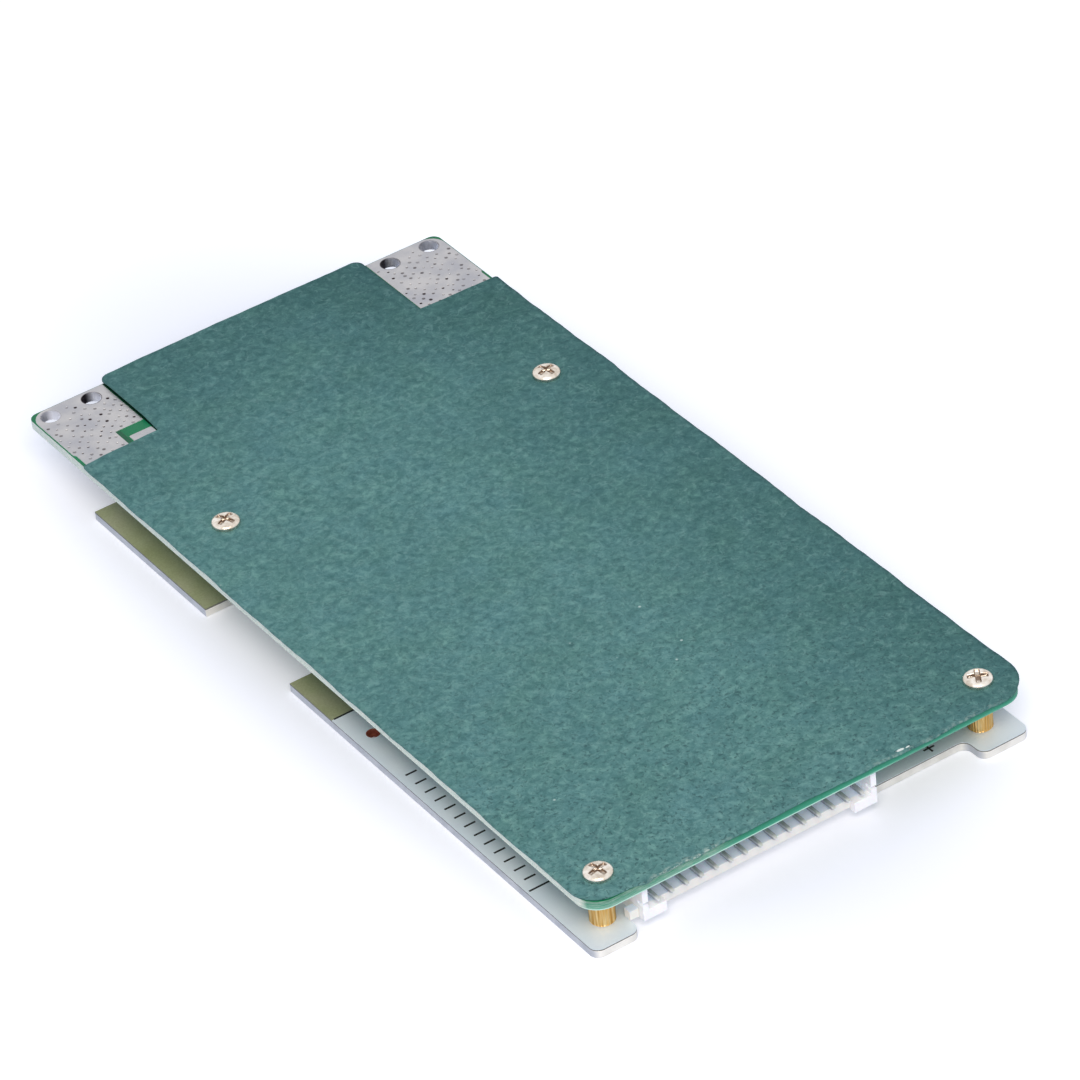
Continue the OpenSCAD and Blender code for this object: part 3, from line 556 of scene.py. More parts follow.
def green_laminate():
    """Glass cloth in epoxy under a green solder mask."""
    material, add, mm = new_finish("fr4_with_green_mask", Roughness=0.35, Specular_IOR_Level=0.25)
    normal = add("SeparateXYZ", {0: add("NewGeometry").outputs["Normal"]})
    place = add("SeparateXYZ", {0: mm})
    flat = add("Math", {0: normal.outputs["Z"]}, operation="ABSOLUTE")
    across = add("Math", {0: normal.outputs["X"]}, operation="ABSOLUTE")
    drift = add("TexNoise", {"Vector": mm, "Scale": 0.2, "Detail": 1.0})
    mask = add("ValToRGB", {"Fac": drift}, stops=[(0.35, "#096a42"), (0.65, "#0f7c52")])
    # Painted shadow: under the paper's tongue and 0.12 mm beside its edges the mask is painted near black
    # green.
    beyond = add("Math", {0: place.outputs["Y"], 1: cut_y + 0.3}, operation="GREATER_THAN")
    inward = add("Math", {0: place.outputs["X"]}, operation="ABSOLUTE")
    covered = add("Math", {0: inward, 1: tongue_half + 0.12}, operation="LESS_THAN")
    painted_tongue_shadow = add("Math", {0: beyond, 1: covered}, operation="MULTIPLY")
    mask = add("Mix", {"Factor": painted_tongue_shadow, "A": mask, "B": "#04301f"})
    strip = add("Math", {0: place.outputs["X"], 1: STRIP[1]}, operation="LESS_THAN")
    islet = add("Math", {0: inward, 1: -STRIP[0]}, operation="LESS_THAN")
    strip = add("Math", {0: strip, 1: islet}, operation="MULTIPLY")
    strip = add("Math", {0: strip, 1: beyond}, operation="MULTIPLY")
    mask = add("Mix", {"Factor": strip, "A": mask, "B": "#0d5c3e"})
    layers = add("VectorMath", {0: mm, 1: (0.9, 0.9, 7.0)}, operation="MULTIPLY")
    cloth = add("TexNoise", {"Vector": layers, "Scale": 1.0, "Detail": 5.0, "Roughness": 0.75})
    pale = add("ValToRGB", {"Fac": cloth},
               stops=[(0.32, "#9fc0ae"), (0.42, "#d2e0d4"), (0.52, "#e2f2e8"), (0.6, "#f2eee0"),
                      (0.72, "#fbfff6")])
    # Painted shade and light on the cut sides: dark green at the top, where the paper shades them, pale
    # green towards the bottom.
    depth = add("MapRange", {"Value": place.outputs["Z"]}, span=(board_low[2], board_high[2]))
    drifted = add("MapRange", {"Value": cloth}, span=(0, 1, -0.25, 0.25))
    depth = add("Math", {0: depth, 1: drifted}, operation="ADD")
    clear = add("ValToRGB", {"Fac": depth},
                stops=[(0.0, "#55b596"), (0.35, "#35987a"), (0.7, "#238466"), (1.0, "#17684d")])
    dusty = add("MapRange", {"Value": place.outputs["X"]}, span=(-10.0, -14.0))
    fibres = add("MapRange", {"Value": cloth}, span=(0.35, 0.6, 0, 0.75))
    dusty = add("Math", {0: dusty, 1: fibres}, operation="MULTIPLY")
    clear = add("Mix", {"Factor": dusty, "A": clear, "B": "#9dbcae"})
    # Painted highlight: a pale mint line along the lower edge of the front side, fading to the right of X =
    # 5 mm.
    painted_lower_edge_highlight = add("MapRange", {"Value": place.outputs["Z"]}, span=(board_low[2] + 0.2, board_low[2] + 0.1))
    whole = add("MapRange", {"Value": place.outputs["X"]}, span=(12.0, 5.0, 0.15, 1))
    painted_lower_edge_highlight = add("Math", {0: painted_lower_edge_highlight, 1: whole}, operation="MULTIPLY")
    clear = add("Mix", {"Factor": painted_lower_edge_highlight, "A": clear, "B": "#c8f2e4"})
    long_side = add("MapRange", {"Value": across}, span=(0.86, 0.99))
    edge = add("Mix", {"Factor": long_side, "A": clear, "B": pale})
    face = add("MapRange", {"Value": flat}, span=(0.55, 0.9))
    add("Mix", {"Factor": face, "A": edge, "B": mask}, to="Base Color")
    add("Bump", {"Height": cloth, "Distance": 0.05 * MM}, to="Normal")
    return material


laminate_finish = green_laminate()
control_board = soften("circuit_board", "control_board", 0.06, laminate_finish)
print("control board:", len(control_board.data.polygons), "faces before the bevel")

# %% [markdown]
# ## Tin on copper
# The terminals are bare copper fields dipped in molten tin and blown level with hot air. The tin is
# dull silver with a breath of lilac. A close pattern of small plated holes, the vias, ties the upper
# field to the lower one. Each is filled to a shallow pit, and here and there one has stayed open.
# The pits are real dents in the mesh, and a number on each point gives the painted shade in them,
# darkest in the open ones. In the bore of a large hole the tin is painted bright on one side, a
# painted highlight, and dark on the other, a painted shade, by the way the wall faces.

# %% Finish of the tinned fields
def tinned_copper():
    """Tin over copper: clouded on the faces, with painted shade in the pits, and a painted highlight and a
    painted shade on the two sides of each hole wall.
    """
    material, add, mm = new_finish("hot_air_levelled_tin", Metallic=1.0)
    painted_tin_shade = add("Attribute", attribute_name="painted_tin_shade").outputs["Fac"]
    cloud = add("TexNoise", {"Vector": mm, "Scale": 0.35, "Detail": 3.0})
    tin = add("ValToRGB", {"Fac": cloud},
              stops=[(0.35, "#b1b2ba"), (0.5, "#bababf"), (0.65, "#c4c3c6")])
    # Painted shade: the pits are painted towards a dark lilac grey, darkest in the open vias.
    tin = add("Mix", {"Factor": painted_tin_shade, "A": tin, "B": "#3a3236"})
    normal = add("NewGeometry").outputs["Normal"]
    # Painted highlight and painted shade on the hole walls: near white on one side, dark where the wall's
    # normal faces along (0.86, -0.51, 0).
    facing = add("VectorMath", {0: normal, 1: (0.86, -0.51, 0.0)}, operation="DOT_PRODUCT")
    shaded_side = add("MapRange", {"Value": facing.outputs["Value"]}, span=(-0.15, 0.6))
    bore_darkness = add("Math", {0: shaded_side, 1: painted_tin_shade}, operation="MULTIPLY")
    hole_wall_light_and_shade = add("Mix", {"Factor": bore_darkness, "A": "#f8f8fc", "B": "#443e42"})
    up = add("SeparateXYZ", {0: normal}).outputs["Z"]
    level = add("Math", {0: up}, operation="ABSOLUTE")
    wall = add("Math", {0: level, 1: 0.4}, operation="LESS_THAN")
    add("Mix", {"Factor": wall, "A": tin, "B": hole_wall_light_and_shade}, to="Base Color")
    grain = add("TexNoise", {"Vector": mm, "Scale": 2.5, "Detail": 4.0})
    add("MapRange", {"Value": grain}, span=(0, 1, 0.38, 0.55), to="Roughness")
    add("Bump", {"Height": grain, "Distance": 0.05 * MM}, to="Normal")
    return material


tin_finish = tinned_copper()
print("finish:", tin_finish.name)

# %% [markdown]
# ## Terminal fields
# A field is a flat sheet with many holes and pits at places that aren't on a grid, so its triangles
# come from a Delaunay triangulation: it joins any set of points with the fattest triangles and keeps
# the given edges. Each pit is three rings of eight points and a centre: two rings on the face, and
# the third with the centre below it. The same sheet, mirrored in height, is the field on the board's
# underside, and a turned sleeve with a flat rim at both ends lines each of the two large holes.

# %% Make the terminals
FOIL = box_mm("left_terminal")[1][2] - board_high[2]
HOLE_R, RIM_R = 1.25, 1.37
HOLE_X, HOLE_Y = (27.8, 21.95), 58.65
HOLE_BORE_SHADE = {"left_terminal": (0.3, 1.0), "right_terminal": (0.6, 1.0)}
VIA_PITCH, OPEN_SHARE = 1.6, 0.14
PIT_STEPS, PIT_RINGS = 8, (1.25, 1, 0.7)
SLEEVE_STEPS = 48
# Field outline: how far it runs on under the paper, its set-back there, its corner, and the notch.
UNDER, SET_BACK, CORNER_R, NOTCH_X, NOTCH_Y = 0.75, 0.25, 2.2, 4.0, 3.1
draw = np.random.default_rng(7)


def ring(centre, radius, steps):
    """Points of a circle, anticlockwise."""
    a = np.linspace(0, 2 * np.pi, steps, endpoint=False)
    return np.array(centre) + radius * np.stack([np.cos(a), np.sin(a)], axis=1)


def inside(points, polygon):
    """Even-odd rule: a point is inside if a line from it to the right crosses the outline an odd
    number of times."""
    x, y = points[:, :1], points[:, 1:]
    ax, ay = polygon.T
    bx, by = np.roll(polygon, -1, axis=0).T
    cross = (ay > y) != (by > y)
    at = ax + (y - ay) / np.where(by == ay, 1e-9, by - ay) * (bx - ax)
    return (cross & (x < at)).sum(axis=1) % 2 == 1


def via_spots(outline, holes, open_y):
    """Rows half a pitch apart, each second one moved by half a pitch, with a little jitter. Spots keep
    clear of the large holes and of the edges. The edge at open_y runs on under the paper."""
    low, high = outline.min(axis=0), outline.max(axis=0)
    rows = np.arange(low[1] + 0.2, high[1] - 1.3, VIA_PITCH / 2)
    spots = np.array([(x + VIA_PITCH / 2 * (k % 2), y) for k, y in enumerate(rows)
                      for x in np.arange(low[0] + 0.5, high[0], VIA_PITCH)])
    spots = spots + draw.normal(0, 0.15, spots.shape)
    keep = inside(spots, outline)
    for shift in [(0.3, 0), (-0.3, 0), (0, 0.3)]:
        keep &= inside(spots + shift, outline)
    for hole in holes:
        keep &= np.hypot(*(spots - hole).T) > RIM_R + 0.5
    keep &= spots[:, 1] > open_y + 0.25
    return spots[keep]


def filled(points, edges, outline, openings):
    """Triangles between the points, inside the outline and outside its openings."""
    triangles = np.array(delaunay_2d_cdt(points.tolist(), edges, [], 0, 1e-6)[2])
    centre = points[triangles].mean(axis=1)
    keep = inside(centre, outline)
    for opening in openings:
        keep &= ~inside(centre, opening)
    return triangles[keep]


def field_shape(outline, holes, height, down):
    """A closed sheet with pits: face at height, back at height + down, walls along every edge. Gives
    the shape, and the painted shade of each point."""
    openings = [ring(h, RIM_R - 0.1, 32) for h in holes]
    rings = [outline] + openings
    flat = np.vstack(rings)
    spots = via_spots(outline, holes, outline[:, 1].min())
    radius = draw.uniform(0.15, 0.29, len(spots))
    painted_darkness = np.where(draw.random(len(spots)) < OPEN_SHARE, 1.0, draw.uniform(0.25, 0.75, len(spots)))
    rims = [np.array([ring(s, k * r, PIT_STEPS) for s, r in zip(spots, radius)]).reshape(-1, 2)
            for k in PIT_RINGS]
    points = np.vstack([flat, *rims, spots])
    starts = np.cumsum([0] + [len(r) for r in rings])
    edges = [(a + k, a + (k + 1) % (b - a)) for a, b in zip(starts[:-1], starts[1:]) for k in range(b - a)]
    triangles = filled(points, edges, outline, openings)
    on_face = len(flat) + 2 * PIT_STEPS * len(spots)
    depth = np.zeros(len(points))
    depth[on_face:] = 0.7 * down
    painted_tin_shade = np.concatenate([np.zeros(on_face), np.repeat(painted_darkness, PIT_STEPS), painted_darkness])
    top = np.column_stack([points, height + depth])
    back = np.column_stack([flat, np.full(len(flat), height + down)])
    under = filled(flat, edges, outline, openings)
    n = len(points)
    walls = [[a, b, b + n, a + n] for a, b in edges]
    faces = triangles.tolist() + (under + n).tolist() + walls
    return (np.vstack([top, back]), faces), np.concatenate([painted_tin_shade, np.zeros(len(flat))])


def sleeve_shape(hole, bore_shade):
    """Turned lining of a plated hole, with a flat rim at both ends. bore_shade is how strong the painted
    shade on its shaded side is.
    """
    top, low = board_high[2] + FOIL + 0.004, board_low[2] - FOIL - 0.004
    loop = [(HOLE_R, top), (RIM_R, top), (RIM_R, low), (HOLE_R, low), (HOLE_R, top)]
    bore_darkness = np.zeros((len(loop), SLEEVE_STEPS))
    bore_darkness[[0, 3, 4]] = bore_shade
    return turned_shape(loop, hole, SLEEVE_STEPS), bore_darkness.ravel()


def terminal_outline(side, notch):
    """Outline of a field. side is -1 at the left and 1 at the right. The left one has a notch for the
    sense pad's island."""
    low, high = box_mm("left_terminal" if side < 0 else "right_terminal")
    inner, outer = (high[0], low[0]) if side < 0 else (low[0], high[0])
    front, step_in = low[1] - UNDER, outer - side * SET_BACK
    corner = [(outer - side * CORNER_R * (1 - np.cos(t)), high[1] - CORNER_R * (1 - np.sin(t)))
              for t in np.linspace(0, np.pi / 2, 7)]
    points = [(step_in, front), (step_in, low[1] + 1.9), (outer, low[1] + 2.3), *corner, (inner, high[1])]
    if notch:
        points += [(inner, low[1] + NOTCH_Y), (inner - NOTCH_X, low[1] + NOTCH_Y), (inner - NOTCH_X, front)]
    else:
        points += [(inner, front)]
    points = np.array(points)
    return points[::-1] if side < 0 else points


def make_terminal(name, side):
    """Upper and lower fields and two sleeves, joined into one piece."""
    low, high = box_mm(name)
    holes = np.array([(side * x, HOLE_Y) for x in HOLE_X])
    upper, upper_pits = field_shape(terminal_outline(side, side < 0), holes, high[2], -FOIL * 0.95)
    lower, lower_pits = field_shape(terminal_outline(side, False), holes, low[2], FOIL * 0.95)
    sleeves = [sleeve_shape(hole, bore_shade) for hole, bore_shade in zip(holes, HOLE_BORE_SHADE[name])]
    shape = joined((upper, 0), (lower, 0), *[(sleeve, 0) for sleeve, bore_darkness in sleeves])
    pits = np.concatenate([upper_pits, lower_pits, *[bore_darkness for sleeve, bore_darkness in sleeves]])
    return make_piece(name + "_tin", shape, [tin_finish], [name], smooth=12,
                      values={"painted_tin_shade": pits})


terminals = [make_terminal("left_terminal", -1), make_terminal("right_terminal", 1)]
pad_low, pad_high = box_mm("sense_pad")
pad_outline = rounded_rectangle((pad_low[0], pad_low[1] - 0.6), (pad_high[0], pad_high[1]), 0.15, 2)
pad_shape, pad_pits = field_shape(pad_outline, [], pad_high[2], -FOIL * 0.95)
make_piece("sense_pad_tin", pad_shape, [tin_finish], ["sense_pad"], smooth=12,
           values={"painted_tin_shade": pad_pits})
print("terminals:", [len(t.data.polygons) for t in terminals], "faces")

# %% [markdown]
# ## Board screws
# Four M2 pan-head screws of nickel-plated steel hold the boards together. The head could be carved
# with booleans, but a height over a polar grid gives the same shape at once: a dome, less a cross
# recess whose arms grow shallow towards their tips. A brown painted shade darkens the arms' walls and
# the bottom, and a number on each point says how dark it is. Each screw stopped at its own turn.

# %% Finish and pieces of the screws
def nickel_plate():
    """Blotched nickel on steel, with a brown painted shade in the cross."""
    material, add, mm = new_finish("nickel_plated_steel", Metallic=1.0)
    recess = add("Attribute", attribute_name="recess").outputs["Fac"]
    grain = add("TexNoise", {"Vector": mm, "Scale": 3.0, "Detail": 3.0})
    blot = add("TexNoise", {"Vector": mm, "Scale": 1.3, "Detail": 3.0})
    plate = add("ValToRGB", {"Fac": blot},
                stops=[(0.35, "#cbbeb0"), (0.5, "#e2d9ce"), (0.65, "#f4eee7")])
    add("Mix", {"Factor": recess, "A": plate, "B": "#6f5440"}, to="Base Color")
    add("MapRange", {"Value": grain}, span=(0, 1, 0.18, 0.36), to="Roughness")
    return material


# In millimetres; the tip is a height over the ground, and the cross has half a width, a reach, a depth.
HEAD_R, HEAD_LOW, SHANK_R, SCREW_TIP = 1.75, 0.15, 0.93, 2.6
CROSS_HALF, CROSS_REACH, CROSS_DEEP = 0.36, 1.3, 0.55


def step(value, width):
    """0 below 0, 1 above width, and the smooth cubic 3t^2 - 2t^3 between them."""
    t = np.clip(value / width, 0, 1)
    return t * t * (3 - 2 * t)


def screw_shape(spot, turn, top):
    """Rings over the head, down its wall, along its shank and to its tip. The dome's height follows a
    superellipse, wall + rise * (1 - (r / R)^2.4)^(1 / 2.4), and the arms of the cross cut into it. It
    ends HEAD_LOW under the solid's top, as real heads come out a little lower than nominal."""
    seat = paper_high[2]
    angle = np.linspace(0, 2 * np.pi, 128, endpoint=False)
    over = np.append(np.linspace(0, 1.3, 30), HEAD_R * np.sin(np.linspace(0.86, np.pi / 2, 9)))
    rise = top - HEAD_LOW - seat
    wall = 0.3 * rise
    dome = wall + (rise - wall) * (1 - (over / HEAD_R) ** 2.4).clip(0) ** (1 / 2.4)
    x, y = over[:, None] * np.cos(angle - turn), over[:, None] * np.sin(angle - turn)
    # edge is the painted shade of the cross: darkest along the arms' walls and in its middle.
    cut, edge = np.zeros(x.shape), np.zeros(x.shape)
    for along, beside in [(np.abs(x), np.abs(y)), (np.abs(y), np.abs(x))]:
        arm = step(CROSS_HALF - beside, 0.16) * step(CROSS_REACH - along, 0.3)
        cut = np.maximum(cut, arm * (CROSS_DEEP - 0.30 * along / CROSS_REACH))
        edge = np.maximum(edge, 3.4 * arm * (1 - arm) * (along > beside))
    cut = np.maximum(cut, CROSS_DEEP * step(0.7 - np.abs(x) - np.abs(y), 0.16))
    edge = np.maximum(edge * (np.abs(x) + np.abs(y) > 0.5), 0.35 * cut / CROSS_DEEP)
    edge = np.maximum(edge, 0.85 * step(0.5 - np.hypot(x, y), 0.2))
    below = np.array([(HEAD_R, wall * 0.5), (HEAD_R, 0.08), (HEAD_R - 0.06, 0.0), (SHANK_R, 0.0),
                      (SHANK_R, SCREW_TIP + 0.3 - seat), (SHANK_R - 0.3, SCREW_TIP - seat),
                      (0.0, SCREW_TIP - seat)])
    radius = np.append(over, below[:, 0])[:, None]
    height = np.vstack([dome[:, None] - cut, np.repeat(below[:, 1:], len(angle), axis=1)])
    x, y = spot[0] + radius * np.cos(angle), spot[1] + radius * np.sin(angle)
    painted_darkness = np.vstack([edge, np.zeros((len(below), len(angle)))]).ravel()
    return grid_shape(np.stack([x, y, seat + height], axis=-1), wrap=True), painted_darkness


nickel_finish = nickel_plate()
SCREW_TURNS = np.radians([10, 59.3, 24, 14])
heads = [screw_shape(s, t, b[1][2]) for s, t, b in zip(screw_spots, SCREW_TURNS, screw_boxes)]
screws = make_piece("pan_head_screws", joined(*[(shape, 0) for shape, painted_darkness in heads]), [nickel_finish],
                    ["board_screws"], smooth=50,
                    values={"recess": np.concatenate([painted_darkness for shape, painted_darkness in heads])})
print("screws:", len(screws.data.polygons), "faces")

# %% [markdown]
# ## Standoffs
# The spacers are turned from brass bar that was drawn with fine flutes, so that fingers can hold
# them. A lathe profile gives the body, its chamfers and the thin neck that is pressed into the
# plate. The flutes are a cosine of the angle taken off the radius between the chamfers.

# %% Finish and pieces of the standoffs
# Drawn and turned brass, streaked along the bar.
brass_finish = grained_finish("turned_brass", 1.0, 3.0,
                              [(0.3, "#c8924a"), (0.5, "#e2b46c"), (0.7, "#f6dba4")],
                              rough=(0.22, 0.4), drawn=(4.0, 4.0, 0.25), Metallic=1.0)
standoff_boxes = solid_boxes("standoffs")
FLUTES, FLUTE_DEEP = 28, 0.06
PLATE_TOP = plate_high[2]
STANDOFF_LOOP = [(1.15, 0.0), (1.15, PLATE_TOP), (1.38, PLATE_TOP), (1.5, PLATE_TOP + 0.14),
                 (1.5, PLATE_TOP + 0.2), (1.5, 5.95), (1.5, 6.05), (1.36, 6.2), (0.98, 6.2), (0.94, 6.1),
                 (0.94, 0.12), (1.02, 0.0), (1.15, 0.0)]


def fluted(radius, height, angle):
    """Radius less FLUTE_DEEP * (1 + cos(FLUTES * angle)) / 2 on the full width between the chamfers."""
    full = (radius > 1.49) & (height > PLATE_TOP + 0.15) & (height < 6.0)
    return radius - full * FLUTE_DEEP * (1 + np.cos(FLUTES * angle)) / 2


spacers = [turned_shape(STANDOFF_LOOP, middle(b), 8 * FLUTES, fluted) for b in standoff_boxes]
standoffs = make_piece("fluted_standoffs", joined(*[(s, 0) for s in spacers]), [brass_finish],
                       ["standoffs"])
print("standoffs:", len(standoffs.data.polygons), "faces")

# %% [markdown]
# ## The cell header
# The cells are wired to a row of pins in a low box of natural nylon, open at the front. Nylon is
# moulded white with a cold, slightly clear look. A weak emission gives it a painted glow, painted
# light that brightens its shaded inside. Its floor is painted bluer, a painted shade, and the lower
# lip a little warmer. The pins are square brass wire with a tin plate, with a painted highlight at
# their tips. They run back through the housing, rise behind it and end in feet that are soldered to
# the board.

# %% Finishes and pieces of the header
def white_nylon():
    """Natural nylon, cloudy and slightly clear, with a painted glow and a painted shade on its floor."""
    # Painted light: a weak emission gives the nylon a glow of its own, brightening its shaded inside.
    material, add, mm = new_finish("natural_nylon", Roughness=0.4, Subsurface_Weight=0.15,
                                   Subsurface_Scale=0.0008, Emission_Color="#e4eaf8",
                                   Emission_Strength=0.12)
    cloud = add("TexNoise", {"Vector": mm, "Scale": 0.6, "Detail": 2.0})
    outer = add("ValToRGB", {"Fac": cloud}, stops=[(0.35, "#f3f5fb"), (0.65, "#fbfcff")])
    low, high = box_mm("header_housing")
    place = add("SeparateXYZ", {0: mm})
    up = add("SeparateXYZ", {0: add("NewGeometry").outputs["Normal"]}).outputs["Z"]
    # Painted shade: the floor inside the mouth is tinted blue, as the white nylon looks in shade.
    floor_shade_share = add("MapRange", {"Value": place.outputs["Y"]}, span=(low[1] + 0.9, low[1] + 1.2))
    floor_side = add("MapRange", {"Value": up}, span=(0.5, 0.8))
    floor_shade_share = add("Math", {0: floor_shade_share, 1: floor_side}, operation="MULTIPLY")
    nylon_with_painted_floor_shade = add("Mix", {"Factor": floor_shade_share, "A": outer, "B": "#dbe8fb"})
    sunk = add("MapRange", {"Value": place.outputs["Y"]}, span=(low[1] + 0.5, low[1] + 0.9))
    shallow = add("Math", {0: up, 1: 0.5}, operation="LESS_THAN")
    lip = add("Math", {0: place.outputs["Z"], 1: low[2] + 1.5}, operation="LESS_THAN")
    lip = add("Math", {0: lip, 1: sunk}, operation="MULTIPLY")
    lip = add("Math", {0: lip, 1: shallow}, operation="MULTIPLY")
    add("Mix", {"Factor": lip, "A": nylon_with_painted_floor_shade, "B": "#e9e8e2"}, to="Base Color")
    grain = add("TexNoise", {"Vector": mm, "Scale": 8.0, "Detail": 2.0})
    add("Bump", {"Height": grain, "Distance": 0.015 * MM}, to="Normal")
    return material


def tin_plate():
    """Tin on drawn wire, streaked along the wire, with a painted highlight at the tip."""
    material, add, mm = new_finish("tin_plated_wire", Metallic=0.2)
    drawn = add("VectorMath", {0: mm, 1: (5.0, 0.5, 5.0)}, operation="MULTIPLY")
    streak = add("TexNoise", {"Vector": drawn, "Scale": 1.0, "Detail": 3.0})
    wire = add("ValToRGB", {"Fac": streak},
               stops=[(0.3, "#a3acb5"), (0.55, "#bac2ca"), (0.75, "#d3d9df")])
    front = box_mm("header_pins")[0][1]
    along = add("SeparateXYZ", {0: mm}).outputs["Y"]
    # Painted highlight: the last half millimetre of each pin is painted near white, a glint.
    tip = add("MapRange", {"Value": along}, span=(front + 0.7, front + 0.3))
    add("Mix", {"Factor": tip, "A": wire, "B": "#eef1f4"}, to="Base Color")
    add("MapRange", {"Value": streak}, span=(0, 1, 0.25, 0.45), to="Roughness")
    return material


def bent_strip(path, thickness, width, edge=0.04):
    """A flat strip bent along a path of (along, up) points. The outline runs along the path at half
    the thickness to its left and back at its right, and is then pulled out sideways to the width."""
    path = np.array(path, float)
    way = np.diff(path, axis=0)
    way /= np.linalg.norm(way, axis=1, keepdims=True)
    left = np.stack([-way[:, 1], way[:, 0]], axis=1)
    first, last = np.vstack([left[:1], left]), np.vstack([left, left[-1:]])
    turn = 1 + np.sum(first * last, axis=1, keepdims=True)
    shift = thickness / 2 * (first + last) / turn
    outline = np.vstack([path - shift, (path + shift)[::-1]])
    half = width / 2
    return prism_shape(outline, [(edge, -half), (0, edge - half), (0, half - edge), (edge, half)])


def strip_at(origin, direction, path, thickness, width):
    """A bent strip whose path starts at origin and leads off in a level direction."""
    direction = np.array(direction, float)
    side = np.cross(direction, (0, 0, 1))
    return placed(bent_strip(path, thickness, width), origin, direction, side)


PIN = 0.5
pin_boxes = solid_boxes("header_pins")
pin_z = pin_boxes[0][0][2] + PIN / 2
foot_z = board_low[2] - PIN / 2


def pin_shape(box):
    """One pin: from its pointed tip back through the housing, up, and on to its foot."""
    front, back = box[0][1], box[1][1]
    rise = box_mm("header_housing")[1][1] + PIN / 2
    r = 0.35
    path = [(0, 0), (0.45, 0), (rise - front - r, 0), (rise - front - 0.1, 0.1), (rise - front, r),
            (rise - front, foot_z - pin_z - r), (rise - front + 0.1, foot_z - pin_z - 0.1),
            (rise - front + r, foot_z - pin_z), (back - front, foot_z - pin_z)]
    points, faces = strip_at((middle(box)[0], front, pin_z), (0, 1, 0), path, PIN, PIN)
    tip = points[:, 1] < front + 0.1
    points[tip, 0] = middle(box)[0] + 0.5 * (points[tip, 0] - middle(box)[0])
    points[tip, 2] = pin_z + 0.5 * (points[tip, 2] - pin_z)
    return points, faces


nylon_finish, pin_finish = white_nylon(), tin_plate()
header = soften("header_box", "header_housing", 0.14, nylon_finish)
pins = make_piece("header_wires", joined(*[(pin_shape(b), 0) for b in pin_boxes]), [pin_finish],
                  ["header_pins"])
print("header pins:", len(pin_boxes))

# %% [markdown]
# ## The power board
# The lower board is a sheet of aluminium, 1 mm thick, with a filled epoxy layer bonded on it. The
# epoxy insulates and still lets heat through, and its filler makes it olive and dull; towards the far
# end, where the board above shades it, it is painted lighter. The front part is covered with a pale
# solder mask, printed in black. The sheet was sheared, and the torn metal of its edges is pale and
# matt, painted lit and warm at the front and in a cooler painted shade at the sides.

# %% Finishes of the power board
def aluminium_core():
    """Rolled aluminium with lines along Y, matt at its cut edges, painted lit at the front cut and painted
    in shade at the side cuts.
    """
    material, add, mm = new_finish("rolled_aluminium")
    rolled = add("VectorMath", {0: mm, 1: (2.0, 0.06, 2.0)}, operation="MULTIPLY")
    lines = add("TexNoise", {"Vector": rolled, "Scale": 1.5, "Detail": 5.0, "Roughness": 0.6})
    face = add("ValToRGB", {"Fac": lines}, stops=[(0.3, "#d6d5d8"), (0.5, "#e6e5e6"), (0.7, "#f2f1f1")])
    normal = add("SeparateXYZ", {0: add("NewGeometry").outputs["Normal"]})
    across = add("Math", {0: normal.outputs["X"]}, operation="ABSOLUTE")
    level = add("Math", {0: normal.outputs["Z"]}, operation="ABSOLUTE")
    rubbed = add("TexNoise", {"Vector": mm, "Scale": 0.5, "Detail": 2.0})
    # Painted light and shade: the front cut is a lit warm white, the side cuts a shaded cool grey.
    front = add("ValToRGB", {"Fac": rubbed}, stops=[(0.35, "#ebeae4"), (0.65, "#fbfaf5")])
    side = add("ValToRGB", {"Fac": rubbed}, stops=[(0.35, "#bdc3cd"), (0.65, "#ced3db")])
    turned = add("MapRange", {"Value": across}, span=(0.5, 0.9))
    cut_edge_light_and_shade = add("Mix", {"Factor": turned, "A": front, "B": side})
    flat = add("MapRange", {"Value": level}, span=(0.5, 0.9))
    add("Mix", {"Factor": flat, "A": cut_edge_light_and_shade, "B": face}, to="Base Color")
    add("MapRange", {"Value": flat}, span=(0, 1, 0.25, 1.0), to="Metallic")
    add("MapRange", {"Value": lines}, span=(0, 1, 0.3, 0.5), to="Roughness")
    add("Bump", {"Height": lines, "Distance": 0.01 * MM}, to="Normal")
    return material


def olive_dielectric():
    """Olive epoxy full of fine mineral grit, painted lighter towards the far end, where the board above
    shades it, and grey where it was cut.
    """
    material, add, mm = new_finish("filled_epoxy_dielectric", Roughness=0.55)
    cloud = add("TexNoise", {"Vector": mm, "Scale": 0.12, "Detail": 3.0})
    grit = add("TexNoise", {"Vector": mm, "Scale": 4.0, "Detail": 4.0})
    ground = add("ValToRGB", {"Fac": cloud},
                 stops=[(0.3, "#8d966e"), (0.5, "#9ba37f"), (0.7, "#a6a98e")])
    grey = add("MapRange", {"Value": grit}, span=(0.3, 0.7, 0.9, 1.1))
    along = add("SeparateXYZ", {0: mm}).outputs["Y"]
    # Painted light: the olive is lifted towards the far end to make up for the shade of the board above.
    painted_far_light = add("MapRange", {"Value": along}, span=(-5.0, 30.0, 0.97, 1.16))
    grey = add("Math", {0: grey, 1: painted_far_light}, operation="MULTIPLY")
    olive = add("Mix", {"Factor": 1.0, "A": ground, "B": grey}, blend_type="MULTIPLY")
    up = add("SeparateXYZ", {0: add("NewGeometry").outputs["Normal"]}).outputs["Z"]
    cut_side = add("Math", {0: up, 1: 0.5}, operation="LESS_THAN")
    add("Mix", {"Factor": cut_side, "A": olive, "B": "#6d706c"}, to="Base Color")
    add("Bump", {"Height": grit, "Distance": 0.02 * MM}, to="Normal")
    return material


